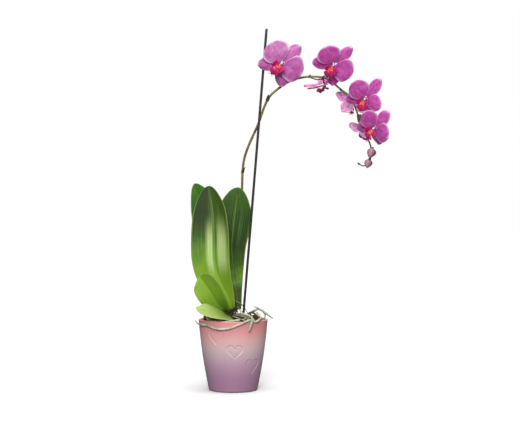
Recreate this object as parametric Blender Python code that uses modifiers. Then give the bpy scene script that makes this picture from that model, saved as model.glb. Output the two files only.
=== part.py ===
"""Potted moth orchid in a tapered ceramic cover pot: metres, +Z up.

The origin is the centre of the pot's flat underside. The plant is placed from the centre of the
pot's rim plane, so it follows the pot when the pot's sizes change. X runs towards the side where
the flower spike arches over, and -Y is the side that the open flowers face.
"""

import math

import bmesh
import bpy
from mathutils import Matrix, Vector

# ---------------------------------------------------------------- driving sizes
TOUCH_GAP = 0.0004

POT_HEIGHT = 0.133
POT_RIM_RADIUS = 0.065
POT_FOOT_RADIUS = 0.0453
POT_BULGE = 0.0023
POT_FOOT_ROUNDING = 0.0045
POT_RIM_ROUNDING = 0.0012
POT_WALL = 0.0038
POT_FLOOR = 0.005
POT_SIDES = 42

HEART_DEPTH = 0.0010
HEART_SIZE = 0.0310
HEART_STEPS = 22
# angle round the pot from -Y towards +X in degrees, and drop below the rim
HEARTS = ((-30.0, 0.0311), (4.2, 0.0574), (42.0, 0.0847))

GROW_POT_CLEARANCE = 0.0016
GROW_POT_WALL = 0.0010
GROW_POT_DROP = 0.0065
GROW_POT_FLOOR_SHARE = 0.9
DRAIN_HOLES = 5
DRAIN_HOLE_RADIUS = 0.0035

BARK_DROP_AT_EDGE = 0.0075
BARK_DROP_AT_CENTRE = 0.0035

STAKE_RADIUS = 0.00235
STAKE_LENGTH = 0.6705
STAKE_LEAN = math.radians(4.64)
STAKE_FOOT_X = 0.0085

CROWN_X = 0.001
CROWN_RADIUS = 0.0072
CROWN_BURIED = 0.011
CROWN_HEIGHT = 0.036

LEAF_THICKNESS = 0.0022
LEAF_TIP_FROM = 0.78
ROOT_RADIUS = 0.0021
ROOT_SIDES = 1

SPIKE_RADIUS = 0.0023
SPIKE_TIP_RADIUS = 0.0012
SPIKE_CROSSING_Y = 0.0060
STALK_RADIUS = 0.0013
COLUMN_RADIUS = 0.0021
COLUMN_LENGTH = 0.0085

TEPAL_THICKNESS = 0.0010
TEPAL_START = 0.0036
PETAL_LENGTH = 0.0435
PETAL_WIDTH = 0.0510
SEPAL_LENGTH = 0.0450
SEPAL_WIDTH = 0.0270
PETAL_LIFT = 0.0014
SEPAL_LIFT = -0.0010
LIP_LENGTH = 0.0240
LIP_WIDTH = 0.0190
LIP_THICKNESS = 0.0011

BUD_LENGTH = 0.0230
TIP_BUD_RADIUS = 0.0019

# Share of the half width at each share of the length.
PETAL_OUTLINE = (
    (0.0, 0.11), (0.16, 0.55), (0.34, 0.90), (0.54, 1.0), (0.74, 0.97), (0.90, 0.78), (1.0, 0.50),
)
SEPAL_OUTLINE = ((0.0, 0.20), (0.18, 0.62), (0.42, 0.94), (0.64, 1.0), (0.86, 0.82), (1.0, 0.44))
LIP_OUTLINE = (
    (0.0, 0.20), (0.16, 0.86), (0.30, 1.0), (0.46, 0.52), (0.66, 0.62), (0.84, 0.40), (1.0, 0.10),
)

# Colours of the materials: red, green, blue, roughness.
LOOKS = {
    "glazed_ceramic": (0.55, 0.32, 0.40, 0.45),
    "clear_plastic": (0.75, 0.76, 0.74, 0.25),
    "bark": (0.13, 0.06, 0.035, 0.95),
    "stake": (0.05, 0.03, 0.04, 0.60),
    "leaf": (0.16, 0.32, 0.06, 0.35),
    "crown": (0.20, 0.24, 0.10, 0.60),
    "root": (0.55, 0.58, 0.48, 0.70),
    "stem": (0.22, 0.21, 0.09, 0.50),
    "petal": (0.55, 0.11, 0.42, 0.50),
    "lip": (0.58, 0.02, 0.18, 0.45),
    "bud": (0.50, 0.24, 0.30, 0.55),
}


# ---------------------------------------------------------------- small helpers
def clear_scene():
    for obj in list(bpy.data.objects):
        bpy.data.objects.remove(obj)


def collection(name):
    made = bpy.data.collections.new(name)
    bpy.context.scene.collection.children.link(made)
    return made


def material(look):
    found = bpy.data.materials.get(look)
    if found:
        return found
    made = bpy.data.materials.new(look)
    made.use_nodes = True
    shader = made.node_tree.nodes["Principled BSDF"]
    red, green, blue, roughness = LOOKS[look]
    shader.inputs["Base Color"].default_value = (red, green, blue, 1.0)
    shader.inputs["Roughness"].default_value = roughness
    shader.inputs["Metallic"].default_value = 0.0
    return made


def add_object(name, data, look, group):
    obj = bpy.data.objects.new(name, data)
    obj.data.materials.append(material(look))
    group.objects.link(obj)
    return obj


def above_rim(x, y, z):
    """A point given from the centre of the pot's rim plane."""
    return Vector((x, y, POT_HEIGHT + z))


def interpolate(stations, t):
    """Smooth value at t of (place, value) stations, which may be numbers or vectors."""
    if t <= stations[0][0]:
        return stations[0][1]
    for (t0, v0), (t1, v1) in zip(stations, stations[1:]):
        if t <= t1:
            s = (t - t0) / (t1 - t0)
            s = s * s * (3.0 - 2.0 * s)
            return v0 + (v1 - v0) * s
    return stations[-1][1]


def catmull_rom(points, per_span):
    """A smooth curve through the points, with per_span steps between each two."""
    ends = [2 * points[0] - points[1], *points, 2 * points[-1] - points[-2]]
    path = []
    for a, b, c, d in zip(ends, ends[1:], ends[2:], ends[3:]):
        for step in range(per_span):
            t = step / per_span
            path.append(
                0.5 * (2 * b + (c - a) * t + (2 * a - 5 * b + 4 * c - d) * t**2
                       + (3 * b - a - 3 * c + d) * t**3)
            )
    path.append(points[-1].copy())
    return path


def tube(name, path, radii, look, group, sides=2, cyclic=False):
    """A filled tube along the path, with a radius at each point. sides is its bevel_resolution."""
    data = bpy.data.curves.new(name, "CURVE")
    data.dimensions = "3D"
    data.bevel_depth = 1.0
    data.bevel_resolution = sides
    data.use_fill_caps = not cyclic
    spline = data.splines.new("POLY")
    spline.points.add(len(path) - 1)
    spline.use_cyclic_u = cyclic
    for point, place, radius in zip(spline.points, path, radii):
        point.co = (*place, 1.0)
        point.radius = radius
    return add_object(name, data, look, group)


def as_mesh(obj, group):
    """The curve or modified object as a plain welded mesh object of the same name."""
    bpy.context.view_layer.update()
    evaluated = obj.evaluated_get(bpy.context.evaluated_depsgraph_get())
    data = bpy.data.meshes.new_from_object(evaluated)
    place = obj.matrix_world.copy()
    name = obj.name
    bpy.data.objects.remove(obj)
    solid = bmesh.new()
    solid.from_mesh(data)
    bmesh.ops.remove_doubles(solid, verts=solid.verts, dist=1e-6)
    bmesh.ops.recalc_face_normals(solid, faces=solid.faces)
    solid.to_mesh(data)
    solid.free()
    made = bpy.data.objects.new(name, data)
    made.matrix_world = place
    group.objects.link(made)
    return made


def boolean(obj, other, operation):
    """Joins other to obj, or cuts it from obj. The other object stays as a hidden helper."""
    modifier = obj.modifiers.new(f"{operation.lower()}_{other.name}", "BOOLEAN")
    modifier.operation = operation
    modifier.object = other
    other.hide_render = True
    other.display_type = "WIRE"


def turned(name, profile, look, group, steps=POT_SIDES):
    """A solid turned round Z from its half profile, which ends on the axis at both ends."""
    data = bpy.data.meshes.new(name)
    edges = [(i, i + 1) for i in range(len(profile) - 1)]
    data.from_pydata([(r, 0.0, z) for r, z in profile], edges, [])
    obj = add_object(name, data, look, group)
    screw = obj.modifiers.new("turn", "SCREW")
    screw.steps = steps
    screw.render_steps = steps
    screw.use_merge_vertices = True
    screw.merge_threshold = 0.00005
    screw.use_smooth_shade = True
    return obj


def sheet(name, surface, across, along, thickness, look, group):
    """An open grid bent by surface(u, v), made solid. u is 0 to 1 along it and v is -1 to 1 across."""
    grid = bmesh.new()
    bmesh.ops.create_grid(grid, x_segments=across, y_segments=along, size=1.0)
    for vert in grid.verts:
        vert.co = surface((vert.co.y + 1.0) / 2.0, vert.co.x)
    data = bpy.data.meshes.new(name)
    grid.to_mesh(data)
    grid.free()
    data.shade_smooth()
    obj = add_object(name, data, look, group)
    solid = obj.modifiers.new("thickness", "SOLIDIFY")
    solid.thickness = thickness
    solid.offset = 0.0
    return obj


# ---------------------------------------------------------------- cover pot, grow pot and bark
def pot_radius(z):
    """Outer radius of the cover pot's wall at height z."""
    t = z / POT_HEIGHT
    return POT_FOOT_RADIUS + (POT_RIM_RADIUS - POT_FOOT_RADIUS) * t + POT_BULGE * 4.0 * t * (1.0 - t)


def heart(size, t):
    """The point at angle t of a heart outline of that width, from its own middle."""
    scale = size / 32.0
    across = 16.0 * math.sin(t) ** 3
    up = 13.0 * math.cos(t) - 5.0 * math.cos(2 * t) - 2.0 * math.cos(3 * t) - math.cos(4 * t)
    return across * scale, (up + 2.5) * scale


def on_pot_wall(angle, z, off=0.0):
    """A point on the pot's outside, at an angle in radians from -Y towards +X."""
    radius = pot_radius(z) + off
    return Vector((radius * math.sin(angle), -radius * math.cos(angle), z))


def make_pot(group, helpers):
    wall_steps = 4
    low = POT_FOOT_ROUNDING
    high = POT_HEIGHT - POT_RIM_ROUNDING
    inner_low = POT_FLOOR + 0.004
    inside = []
    for i in range(wall_steps + 1):
        z = inner_low + (high - inner_low) * i / wall_steps
        inside.append((pot_radius(z) - POT_WALL, z))
    outside = []
    for i in range(wall_steps + 1):
        z = high + (low - high) * i / wall_steps
        outside.append((pot_radius(z), z))
    corner = pot_radius(low) - POT_FOOT_ROUNDING
    rounding = [
        (corner + POT_FOOT_ROUNDING * math.cos(a), POT_FOOT_ROUNDING * (1.0 - math.sin(a)))
        for a in (math.radians(30), math.radians(60), math.radians(90))
    ]
    rim_middle = POT_RIM_RADIUS - POT_WALL / 2.0
    profile = [
        (0.0, POT_FLOOR),
        (inside[0][0] - 0.004, POT_FLOOR),
        *inside,
        (rim_middle - POT_WALL * 0.25, POT_HEIGHT),
        (rim_middle + POT_WALL * 0.25, POT_HEIGHT),
        *outside,
        *rounding,
        (0.0, 0.0),
    ]
    pot = turned("pot", profile, "glazed_ceramic", group)
    for number, (degrees, drop) in enumerate(HEARTS, 1):
        cutter = heart_cutter(f"heart_{number}", math.radians(degrees), POT_HEIGHT - drop, helpers)
        boolean(pot, cutter, "DIFFERENCE")
    return pot


def heart_cutter(name, angle, middle_z, helpers):
    """A heart that follows the pot's wall, from the heart's depth inside it to as far outside."""
    disc = bmesh.new()
    bmesh.ops.create_grid(disc, x_segments=HEART_STEPS, y_segments=3, size=1.0)
    for vert in disc.verts:
        across, up = heart(HEART_SIZE, math.pi * vert.co.x)
        share = (vert.co.y + 1.0) / 2.0
        turn = angle + across * share / pot_radius(middle_z)
        vert.co = on_pot_wall(turn, middle_z + up * share)
    bmesh.ops.remove_doubles(disc, verts=disc.verts, dist=1e-5)
    data = bpy.data.meshes.new(name)
    disc.to_mesh(data)
    disc.free()
    cutter = add_object(name, data, "glazed_ceramic", helpers)
    solid = cutter.modifiers.new("depth", "SOLIDIFY")
    solid.thickness = HEART_DEPTH * 2.0
    solid.offset = 0.0
    return cutter


def grow_pot_radius(z):
    """Outer radius of the plastic grow pot, a plain cone, at height z."""
    low = POT_FLOOR + TOUCH_GAP
    high = POT_HEIGHT - GROW_POT_DROP
    low_radius = (pot_radius(low + 0.006) - POT_WALL - GROW_POT_CLEARANCE) * GROW_POT_FLOOR_SHARE
    high_radius = pot_radius(high) - POT_WALL - GROW_POT_CLEARANCE
    return low_radius + (high_radius - low_radius) * (z - low) / (high - low)


def make_grow_pot(group, helpers):
    low = POT_FLOOR + TOUCH_GAP
    high = POT_HEIGHT - GROW_POT_DROP
    inner_low = low + GROW_POT_WALL
    profile = [
        (0.0, inner_low),
        (grow_pot_radius(inner_low) - GROW_POT_WALL, inner_low),
        (grow_pot_radius(high) - GROW_POT_WALL, high),
        (grow_pot_radius(high), high),
        (grow_pot_radius(low), low),
        (0.0, low),
    ]
    pot = turned("grow_pot", profile, "clear_plastic", group, steps=36)
    ring = grow_pot_radius(low) * 0.62
    for hole in range(DRAIN_HOLES):
        angle = 2.0 * math.pi * (hole + 0.25) / DRAIN_HOLES
        cutter_mesh = bmesh.new()
        bmesh.ops.create_cone(
            cutter_mesh, cap_ends=True, segments=10, radius1=DRAIN_HOLE_RADIUS,
            radius2=DRAIN_HOLE_RADIUS, depth=GROW_POT_WALL * 6.0,
        )
        data = bpy.data.meshes.new(f"drain_hole_{hole + 1}")
        cutter_mesh.to_mesh(data)
        cutter_mesh.free()
        cutter = add_object(data.name, data, "clear_plastic", helpers)
        cutter.location = (ring * math.cos(angle), ring * math.sin(angle), low)
        boolean(pot, cutter, "DIFFERENCE")
    return pot


def make_bark(group, helpers):
    low = POT_FLOOR + TOUCH_GAP + GROW_POT_WALL + TOUCH_GAP
    edge_z = POT_HEIGHT - BARK_DROP_AT_EDGE
    centre_z = POT_HEIGHT - BARK_DROP_AT_CENTRE
    room = GROW_POT_WALL + TOUCH_GAP
    edge = grow_pot_radius(edge_z) - room
    profile = [
        (0.0, centre_z),
        (edge * 0.45, centre_z - 0.0004),
        (edge * 0.80, (centre_z + edge_z) / 2.0),
        (edge, edge_z),
        (grow_pot_radius(low) - room, low),
        (0.0, low),
    ]
    bark = turned("bark", profile, "bark", group, steps=36)
    stake_hole = stake_tube("stake_hole", STAKE_RADIUS + TOUCH_GAP, helpers, extra=0.02)
    boolean(bark, as_mesh(stake_hole, helpers), "DIFFERENCE")
    crown_hole = crown_tube("crown_hole", TOUCH_GAP, helpers)
    boolean(bark, as_mesh(crown_hole, helpers), "DIFFERENCE")
    return bark


# ---------------------------------------------------------------- stake and crown
def stake_y():
    """The stake stands just in front of the spike where they cross."""
    return SPIKE_CROSSING_Y - (STAKE_RADIUS + SPIKE_RADIUS + TOUCH_GAP)


def stake_tube(name, radius, group, extra=0.0):
    foot = Vector((STAKE_FOOT_X, stake_y(), POT_FLOOR + 3.0 * TOUCH_GAP + GROW_POT_WALL + STAKE_RADIUS))
    along = Vector((math.sin(STAKE_LEAN), 0.0, math.cos(STAKE_LEAN)))
    path = [foot - along * extra, foot + along * STAKE_LENGTH]
    if extra == 0.0:
        path.append(path[-1] + along * radius * 0.4)
        return tube(name, path, [radius, radius, radius * 0.6], "stake", group, sides=4)
    return tube(name, path, [radius, radius], "stake", group, sides=4)


def crown_tube(name, extra, group):
    """The short upright stem that the leaves and roots grow from."""
    shares = ((0.0, 0.8), (0.25, 1.0), (0.5, 0.92), (0.75, 0.66), (1.0, 0.28))
    path = []
    radii = []
    for share, width in shares:
        z = -CROWN_BURIED + (CROWN_BURIED + CROWN_HEIGHT) * share
        path.append(above_rim(CROWN_X, 0.0, z))
        radii.append(CROWN_RADIUS * width + extra)
    path[0].z -= extra
    return tube(name, path, radii, "crown", group, sides=3)


# ---------------------------------------------------------------- leaves
# Each leaf: midrib points from the rim plane's centre, the half width at each, the turn of the
# blade in degrees (0 has its upper side to -Y), its backward tilt, and how steeply its halves fold up.
LEAVES = {
    "leaf_back_left": {
        "midrib": ((-0.0085, 0.0075, 0.0160), (-0.0200, 0.0230, 0.0500), (-0.0360, 0.0305, 0.1000),
                   (-0.0470, 0.0310, 0.1580), (-0.0560, 0.0270, 0.2100), (-0.0730, 0.0190, 0.2545)),
        "widths": (0.0050, 0.0150, 0.0260, 0.0285, 0.0260, 0.0180),
        "turn": 6.0, "tilt": 0.0, "fold": 16.0, "steps": 9,
    },
    "leaf_centre": {
        "midrib": ((-0.0010, -0.0108, 0.0205), (-0.0110, -0.0150, 0.045), (-0.0300, -0.0200, 0.080),
                   (-0.0370, -0.0230, 0.113), (-0.0385, -0.0220, 0.158), (-0.0405, -0.0180, 0.203),
                   (-0.0455, -0.0120, 0.2490)),
        "widths": (0.0050, 0.0155, 0.0315, 0.0362, 0.0362, 0.0320, 0.0245),
        "turn": -21.0, "tilt": 0.0, "fold": 22.0, "steps": 10,
    },
    "leaf_right": {
        "midrib": ((0.0110, 0.0050, 0.0180), (0.0075, 0.0130, 0.050), (0.0005, 0.0190, 0.095),
                   (-0.0030, 0.0210, 0.135), (-0.0003, 0.0205, 0.169), (0.0038, 0.0190, 0.204),
                   (0.0092, 0.0160, 0.2470)),
        "widths": (0.0042, 0.0095, 0.0205, 0.0280, 0.0320, 0.0325, 0.0275),
        "turn": -8.0, "tilt": 0.0, "fold": 13.0, "steps": 10,
    },
    "leaf_front_left": {
        "midrib": ((-0.0100, -0.0085, 0.0140), (-0.0180, -0.0210, 0.0220), (-0.0275, -0.0300, 0.0325),
                   (-0.0367, -0.0350, 0.0461), (-0.0460, -0.0362, 0.0605), (-0.0534, -0.0358, 0.0725),
                   (-0.0608, -0.0345, 0.0815)),
        "widths": (0.0050, 0.0125, 0.0215, 0.0280, 0.0290, 0.0250, 0.0190),
        "turn": -27.0, "tilt": 6.0, "fold": 24.0, "steps": 9,
    },
    "leaf_lowest": {
        "midrib": ((-0.0005, -0.0180, 0.0000), (-0.0120, -0.0320, 0.0045), (-0.0265, -0.0430, 0.0100),
                   (-0.0410, -0.0500, 0.0140), (-0.0550, -0.0530, 0.0180), (-0.0665, -0.0530, 0.0230)),
        "widths": (0.0035, 0.0130, 0.0195, 0.0208, 0.0170, 0.0110),
        "turn": 0.0, "tilt": 58.0, "fold": 10.0, "steps": 8,
    },
}


def leaf_frames(leaf):
    """Midrib point, across direction, upper side's direction and half width at each share."""
    points = [above_rim(*p) for p in leaf["midrib"]]
    turn = math.radians(leaf["turn"])
    tilt = math.radians(leaf["tilt"])
    facing = Vector((math.sin(turn) * math.cos(tilt), -math.cos(turn) * math.cos(tilt), math.sin(tilt)))
    last = len(points) - 1
    path = catmull_rom(points, leaf["steps"])
    widths = [(i / last, w) for i, w in enumerate(leaf["widths"])]

    def at(share):
        place = share * (len(path) - 1)
        i = min(int(place), len(path) - 2)
        middle = path[i].lerp(path[i + 1], place - i)
        along = (path[i + 1] - path[i]).normalized()
        up = (facing - along * facing.dot(along)).normalized()
        beyond = max(0.0, share - LEAF_TIP_FROM) / (1.0 - LEAF_TIP_FROM)
        rounding = math.sqrt(1.0 - 0.97 * beyond * beyond)
        return middle, along.cross(up), up, interpolate(widths, share) * rounding

    return at


def make_leaf(name, leaf, group):
    at = leaf_frames(leaf)
    fold = math.tan(math.radians(leaf["fold"]))

    def surface(u, v):
        middle, across, up, width = at(1.0 - (1.0 - u) ** 1.35)
        reach = abs(v) ** 1.25
        return middle + across * (width * v) + up * (width * fold * reach)

    return sheet(name, surface, 6, leaf["steps"], LEAF_THICKNESS, "leaf", group)


# ---------------------------------------------------------------- aerial roots
def over_rim(degrees, out, up):
    """A point at an angle from -Y towards +X, so far out from the rim's outer edge and above its top."""
    angle = math.radians(degrees)
    radius = POT_RIM_RADIUS + out
    return Vector((radius * math.sin(angle), -radius * math.cos(angle), POT_HEIGHT + up))


REST = ROOT_RADIUS + TOUCH_GAP  # how far a root's middle stays from what it lies on


def make_roots(group, helpers):
    front = catmull_rom([
        over_rim(55.0, -0.0100, 0.0120 + REST),
        over_rim(53.0, 0.0000, 0.0036 + REST),
        over_rim(46.0, REST, 0.0008 + REST * 0.6),
        over_rim(38.0, REST, -0.0010),
        over_rim(31.0, REST * 0.6, REST),
        over_rim(25.0, REST * 0.9, REST * 0.8),
        over_rim(17.0, REST, -0.0020),
        over_rim(8.0, REST, -0.0060),
        over_rim(-4.0, REST, -0.0115),
        over_rim(-16.0, REST, -0.0135),
        over_rim(-28.0, REST, -0.0125),
        over_rim(-42.0, REST, -0.0080),
        over_rim(-58.0, REST, -0.0075),
        over_rim(-72.0, REST + 0.0006, -0.0075),
        over_rim(-84.0, REST + 0.0032, -0.0030),
    ], 3)
    tube("root_front", front, tapered(front, ROOT_RADIUS, 0.9, 0.5), "root", group, sides=ROOT_SIDES)

    inside = catmull_rom([
        over_rim(-62.0, -0.0090, 0.0085),
        over_rim(-55.0, -0.0092, 0.0010),
        over_rim(-42.0, -0.0090, -0.0014),
        over_rim(-24.0, -0.0090, -0.0024),
        over_rim(-8.0, -0.0092, -0.0006),
        over_rim(4.0, -0.0105, 0.0012),
        over_rim(13.0, -0.0160, 0.0008),
        over_rim(17.0, -0.0230, 0.0016),
    ], 3)
    tube("root_rim", inside, tapered(inside, ROOT_RADIUS, 0.6, 0.8), "root", group, sides=ROOT_SIDES)

    silver = catmull_rom([
        above_rim(0.0120, -0.0110, 0.0080),
        above_rim(0.0180, -0.0240, 0.0110),
        above_rim(0.0260, -0.0340, 0.0105),
        above_rim(0.0330, -0.0400, 0.0070),
        above_rim(0.0390, -0.0440, 0.0010),
    ], 4)
    tube("root_silver", silver, tapered(silver, ROOT_RADIUS, 0.8, 0.9), "root", group, sides=ROOT_SIDES)

    arch = catmull_rom([
        above_rim(0.0240, -0.0090, -0.0008),
        above_rim(0.0300, -0.0160, 0.0100),
        above_rim(0.0420, -0.0200, 0.0180),
        above_rim(0.0480, -0.0220, 0.0200),
        above_rim(0.0560, -0.0240, 0.0165),
        above_rim(0.0620, -0.0250, 0.0120),
        above_rim(0.0735, -0.0250, 0.0035),
    ], 4)
    arch_radii = tapered(arch, ROOT_RADIUS, 0.75, 0.6)
    arch_root = tube("root_arch", arch, arch_radii, "root", group, sides=ROOT_SIDES)
    stub = catmull_rom([
        above_rim(0.0490, -0.0220, 0.0200),
        above_rim(0.0440, -0.0235, 0.0235),
        above_rim(0.0385, -0.0240, 0.0245),
    ], 3)
    stub_radii = tapered(stub, ROOT_RADIUS * 0.75, 1.0, 0.5)
    stub_root = tube("root_stub", stub, stub_radii, "root", helpers, sides=ROOT_SIDES)
    boolean(as_mesh(arch_root, group), as_mesh(stub_root, helpers), "UNION")
    bpy.data.objects["root_arch"].data.materials.append(material("root"))

    hanging = catmull_rom([
        over_rim(32.0, -0.0110, 0.0025),
        over_rim(31.0, -0.0010, REST * 3.3),
        over_rim(30.0, REST * 2.0, REST * 3.3),
        over_rim(29.0, REST * 3.5, REST * 0.6),
        over_rim(27.0, REST * 3.2, -0.0080),
        over_rim(24.5, REST * 3.0, -0.0160),
    ], 4)
    hanging_radii = tapered(hanging, ROOT_RADIUS, 0.9, 0.5)
    tube("root_hanging", hanging, hanging_radii, "root", group, sides=ROOT_SIDES)


def tapered(path, radius, first, last):
    """Radii along a path: full in the middle, first and last shares of it at the ends."""
    count = len(path) - 1
    radii = []
    for i in range(count + 1):
        t = i / count
        share = min(1.0, first + (1.0 - first) * t / 0.15, last + (1.0 - last) * (1.0 - t) / 0.15)
        radii.append(radius * share)
    return radii


# ---------------------------------------------------------------- flower spike
SPIKE_ROUTE = (
    (0.0010, 0.0105, 0.0220), (0.0060, 0.0230, 0.0500), (0.0110, 0.0275, 0.1000),
    (0.0135, 0.0275, 0.1600), (0.0155, 0.0255, 0.2150), (0.0165, 0.0230, 0.2500),
    (0.0175, 0.0200, 0.2800), (0.0215, 0.0150, 0.3050), (0.0310, 0.0090, 0.3310),
    (0.0460, SPIKE_CROSSING_Y, 0.3640), (0.0535, SPIKE_CROSSING_Y, 0.3850), (0.0590, 0.0060, 0.4000),
    (0.0690, 0.0050, 0.4190), (0.0885, 0.0050, 0.4360), (0.1080, 0.0050, 0.4480),
    (0.1310, 0.0050, 0.4545), (0.1500, 0.0050, 0.4560), (0.1680, 0.0050, 0.4545),
    (0.1830, 0.0050, 0.4485), (0.1960, 0.0050, 0.4375), (0.2120, 0.0050, 0.4230),
    (0.2260, 0.0050, 0.4060), (0.2320, 0.0050, 0.3920), (0.2370, 0.0050, 0.3770),
    (0.2430, 0.0050, 0.3620), (0.2505, 0.0050, 0.3450), (0.2580, 0.0050, 0.3280),
    (0.2600, 0.0050, 0.3150), (0.2580, 0.0055, 0.2990), (0.2520, 0.0060, 0.2900),
    (0.2440, 0.0060, 0.2880), (0.2370, 0.0055, 0.2915),
)

# Each flower: its centre from the rim plane's centre, the way it faces (degrees to +X from -Y, and
# degrees up), its roll to the right, its size, how far its petals and sepals sweep forward in
# degrees, where its stalk leaves the spike (span of the route) and a point that the stalk bends by,
# how far its lip turns round the column in degrees, and the length and width shares of its odd parts.
FLOWERS = (
    {"centre": (0.0925, -0.0240, 0.4785), "facing": (-8.0, -8.0), "roll": 46.0, "size": 1.0,
     "lip_turn": 0.0,
     "sizes": {"left_petal": (1.0, 0.97), "right_petal": (0.95, 0.93), "left_sepal": (1.07, 1.0)},
     "sweep": (2.0, -4.0), "leaves_at": 14.0, "bend": (0.1010, -0.0060, 0.4620)},
    {"centre": (0.1885, -0.0280, 0.4765), "facing": (-10.0, -24.0), "roll": 50.0, "size": 0.94,
     "lip_turn": 15.0,
     "sizes": {"left_petal": (0.91, 0.90), "right_petal": (0.95, 0.90), "top_sepal": (1.04, 0.86),
               "right_sepal": (1.08, 1.0)},
     "sweep": (14.0, -2.0), "leaves_at": 17.0, "bend": (0.1830, -0.0100, 0.4680)},
    {"centre": (0.2475, -0.0380, 0.4125), "facing": (-32.0, -20.0), "roll": 44.5, "size": 0.92,
     "lip_turn": 13.0,
     "sizes": {"left_petal": (0.95, 0.92), "right_petal": (0.84, 0.66), "top_sepal": (1.08, 0.92),
               "left_sepal": (1.16, 0.9), "right_sepal": (0.80, 0.9)},
     "sweep": (17.0, 0.0), "leaves_at": 20.3, "bend": (0.2320, -0.0160, 0.4230)},
    {"centre": (0.2628, -0.0580, 0.3564), "facing": (-42.0, -18.0), "roll": 49.0, "size": 0.90,
     "lip_turn": 6.0,
     "sizes": {"left_petal": (0.89, 0.87), "right_petal": (0.84, 0.80), "left_sepal": (1.20, 0.95),
               "right_sepal": (0.86, 0.95)},
     "sweep": (17.0, 0.0), "leaves_at": 24.0, "bend": (0.2560, -0.0320, 0.3640)},
    {"centre": (0.1735, 0.0415, 0.4465), "facing": (121.0, -66.0), "roll": -85.0, "size": 0.86,
     "lip_turn": 0.0,
     "sizes": {},
     "sweep": (0.0, -4.0), "leaves_at": 15.6, "bend": (0.1560, 0.0240, 0.4530)},
    {"centre": (0.2270, 0.0330, 0.4110), "facing": (210.0, -28.0), "roll": -12.0, "size": 0.80,
     "lip_turn": 0.0,
     "sizes": {"right_petal": (1.08, 0.52), "right_sepal": (1.38, 1.05), "top_sepal": (0.9, 0.8)},
     "sweep": (4.0, -6.0), "leaves_at": 19.4, "bend": (0.2150, 0.0200, 0.4260)},
    {"centre": (0.2500, 0.0380, 0.3600), "facing": (212.0, -38.0), "roll": 6.0, "size": 0.80,
     "lip_turn": 0.0,
     "sizes": {"right_petal": (1.02, 0.58), "right_sepal": (1.10, 1.0), "top_sepal": (0.80, 0.9)},
     "sweep": (4.0, -6.0), "leaves_at": 22.6, "bend": (0.2400, 0.0220, 0.3780)},
)

BUDS = (
    {"top": (0.2612, -0.0110, 0.3190), "end": (0.2545, -0.0195, 0.3020), "width": 0.90, "leaves_at": 26.8},
    {"top": (0.2550, -0.0045, 0.2992), "end": (0.2510, -0.0110, 0.2850), "width": 0.80, "leaves_at": 28.2},
)


def flower_matrix(flower):
    """Local +Z is the way the flower faces, and +Y points to its top sepal."""
    turn, rise = (math.radians(a) for a in flower["facing"])
    facing = Vector((math.sin(turn) * math.cos(rise), -math.cos(turn) * math.cos(rise), math.sin(rise)))
    up = (Vector((0.0, 0.0, 1.0)) - facing * facing.z).normalized()
    up = Matrix.Rotation(-math.radians(flower["roll"]), 3, facing) @ up
    right = up.cross(facing)
    turned_to = Matrix((right, up, facing)).transposed().to_4x4()
    return Matrix.Translation(above_rim(*flower["centre"])) @ turned_to @ Matrix.Scale(flower["size"], 4)


def spike_path():
    return catmull_rom([above_rim(*p) for p in SPIKE_ROUTE], 2)


def spike_radius(share):
    return SPIKE_RADIUS + (SPIKE_TIP_RADIUS - SPIKE_RADIUS) * max(0.0, share - 0.35) / 0.65


def make_spike(group, helpers):
    """The main stem, the flower stalks with the column at each end, and the bud stalks, grown as one."""
    path = spike_path()
    last = len(path) - 1
    radii = [spike_radius(i / last) for i in range(last + 1)]
    stem = as_mesh(tube("flower_spike", path, radii, "stem", group, sides=2), group)
    stem.data.materials.append(material("stem"))
    for number, flower in enumerate(FLOWERS, 1):
        place = flower_matrix(flower)
        start = path[round(flower["leaves_at"] * 2)]
        back = place @ Vector((0.0, 0.0, -0.010))
        neck = place @ Vector((0.0, 0.0, -0.003))
        stalk = catmull_rom([start, above_rim(*flower["bend"]), back, neck], 3)
        column = [place @ Vector((0.0, 0.0, 0.0015)), place @ Vector((0.0, -0.0002, 0.0045)),
                  place @ Vector((0.0, -0.0010, COLUMN_LENGTH))]
        radii = [STALK_RADIUS] * (len(stalk) - 2) + [STALK_RADIUS * 1.2, STALK_RADIUS * 1.35]
        radii += [COLUMN_RADIUS * 0.85 * flower["size"], COLUMN_RADIUS * flower["size"],
                  COLUMN_RADIUS * 0.9 * flower["size"]]
        branch = tube(f"flower_{number}_stalk", stalk + column, radii, "stem", helpers, sides=1)
        boolean(stem, as_mesh(branch, helpers), "UNION")
    for number, bud in enumerate(BUDS, 1):
        start = path[round(bud["leaves_at"] * 2)]
        top = above_rim(*bud["top"])
        down = (above_rim(*bud["end"]) - top).normalized()
        end = top - down * TOUCH_GAP
        stalk = catmull_rom([start, start.lerp(end, 0.6) - down * 0.004, end - down * 0.003, end], 2)
        branch = tube(f"bud_{number}_stalk", stalk, [STALK_RADIUS] * len(stalk), "stem", helpers, sides=1)
        boolean(stem, as_mesh(branch, helpers), "UNION")
    tip_mesh = bmesh.new()
    bmesh.ops.create_uvsphere(tip_mesh, u_segments=8, v_segments=6, radius=TIP_BUD_RADIUS)
    data = bpy.data.meshes.new("tip_bud")
    tip_mesh.to_mesh(data)
    tip_mesh.free()
    tip = add_object("tip_bud", data, "stem", helpers)
    tip.location = path[-1]
    boolean(stem, tip, "UNION")
    return stem


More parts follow.
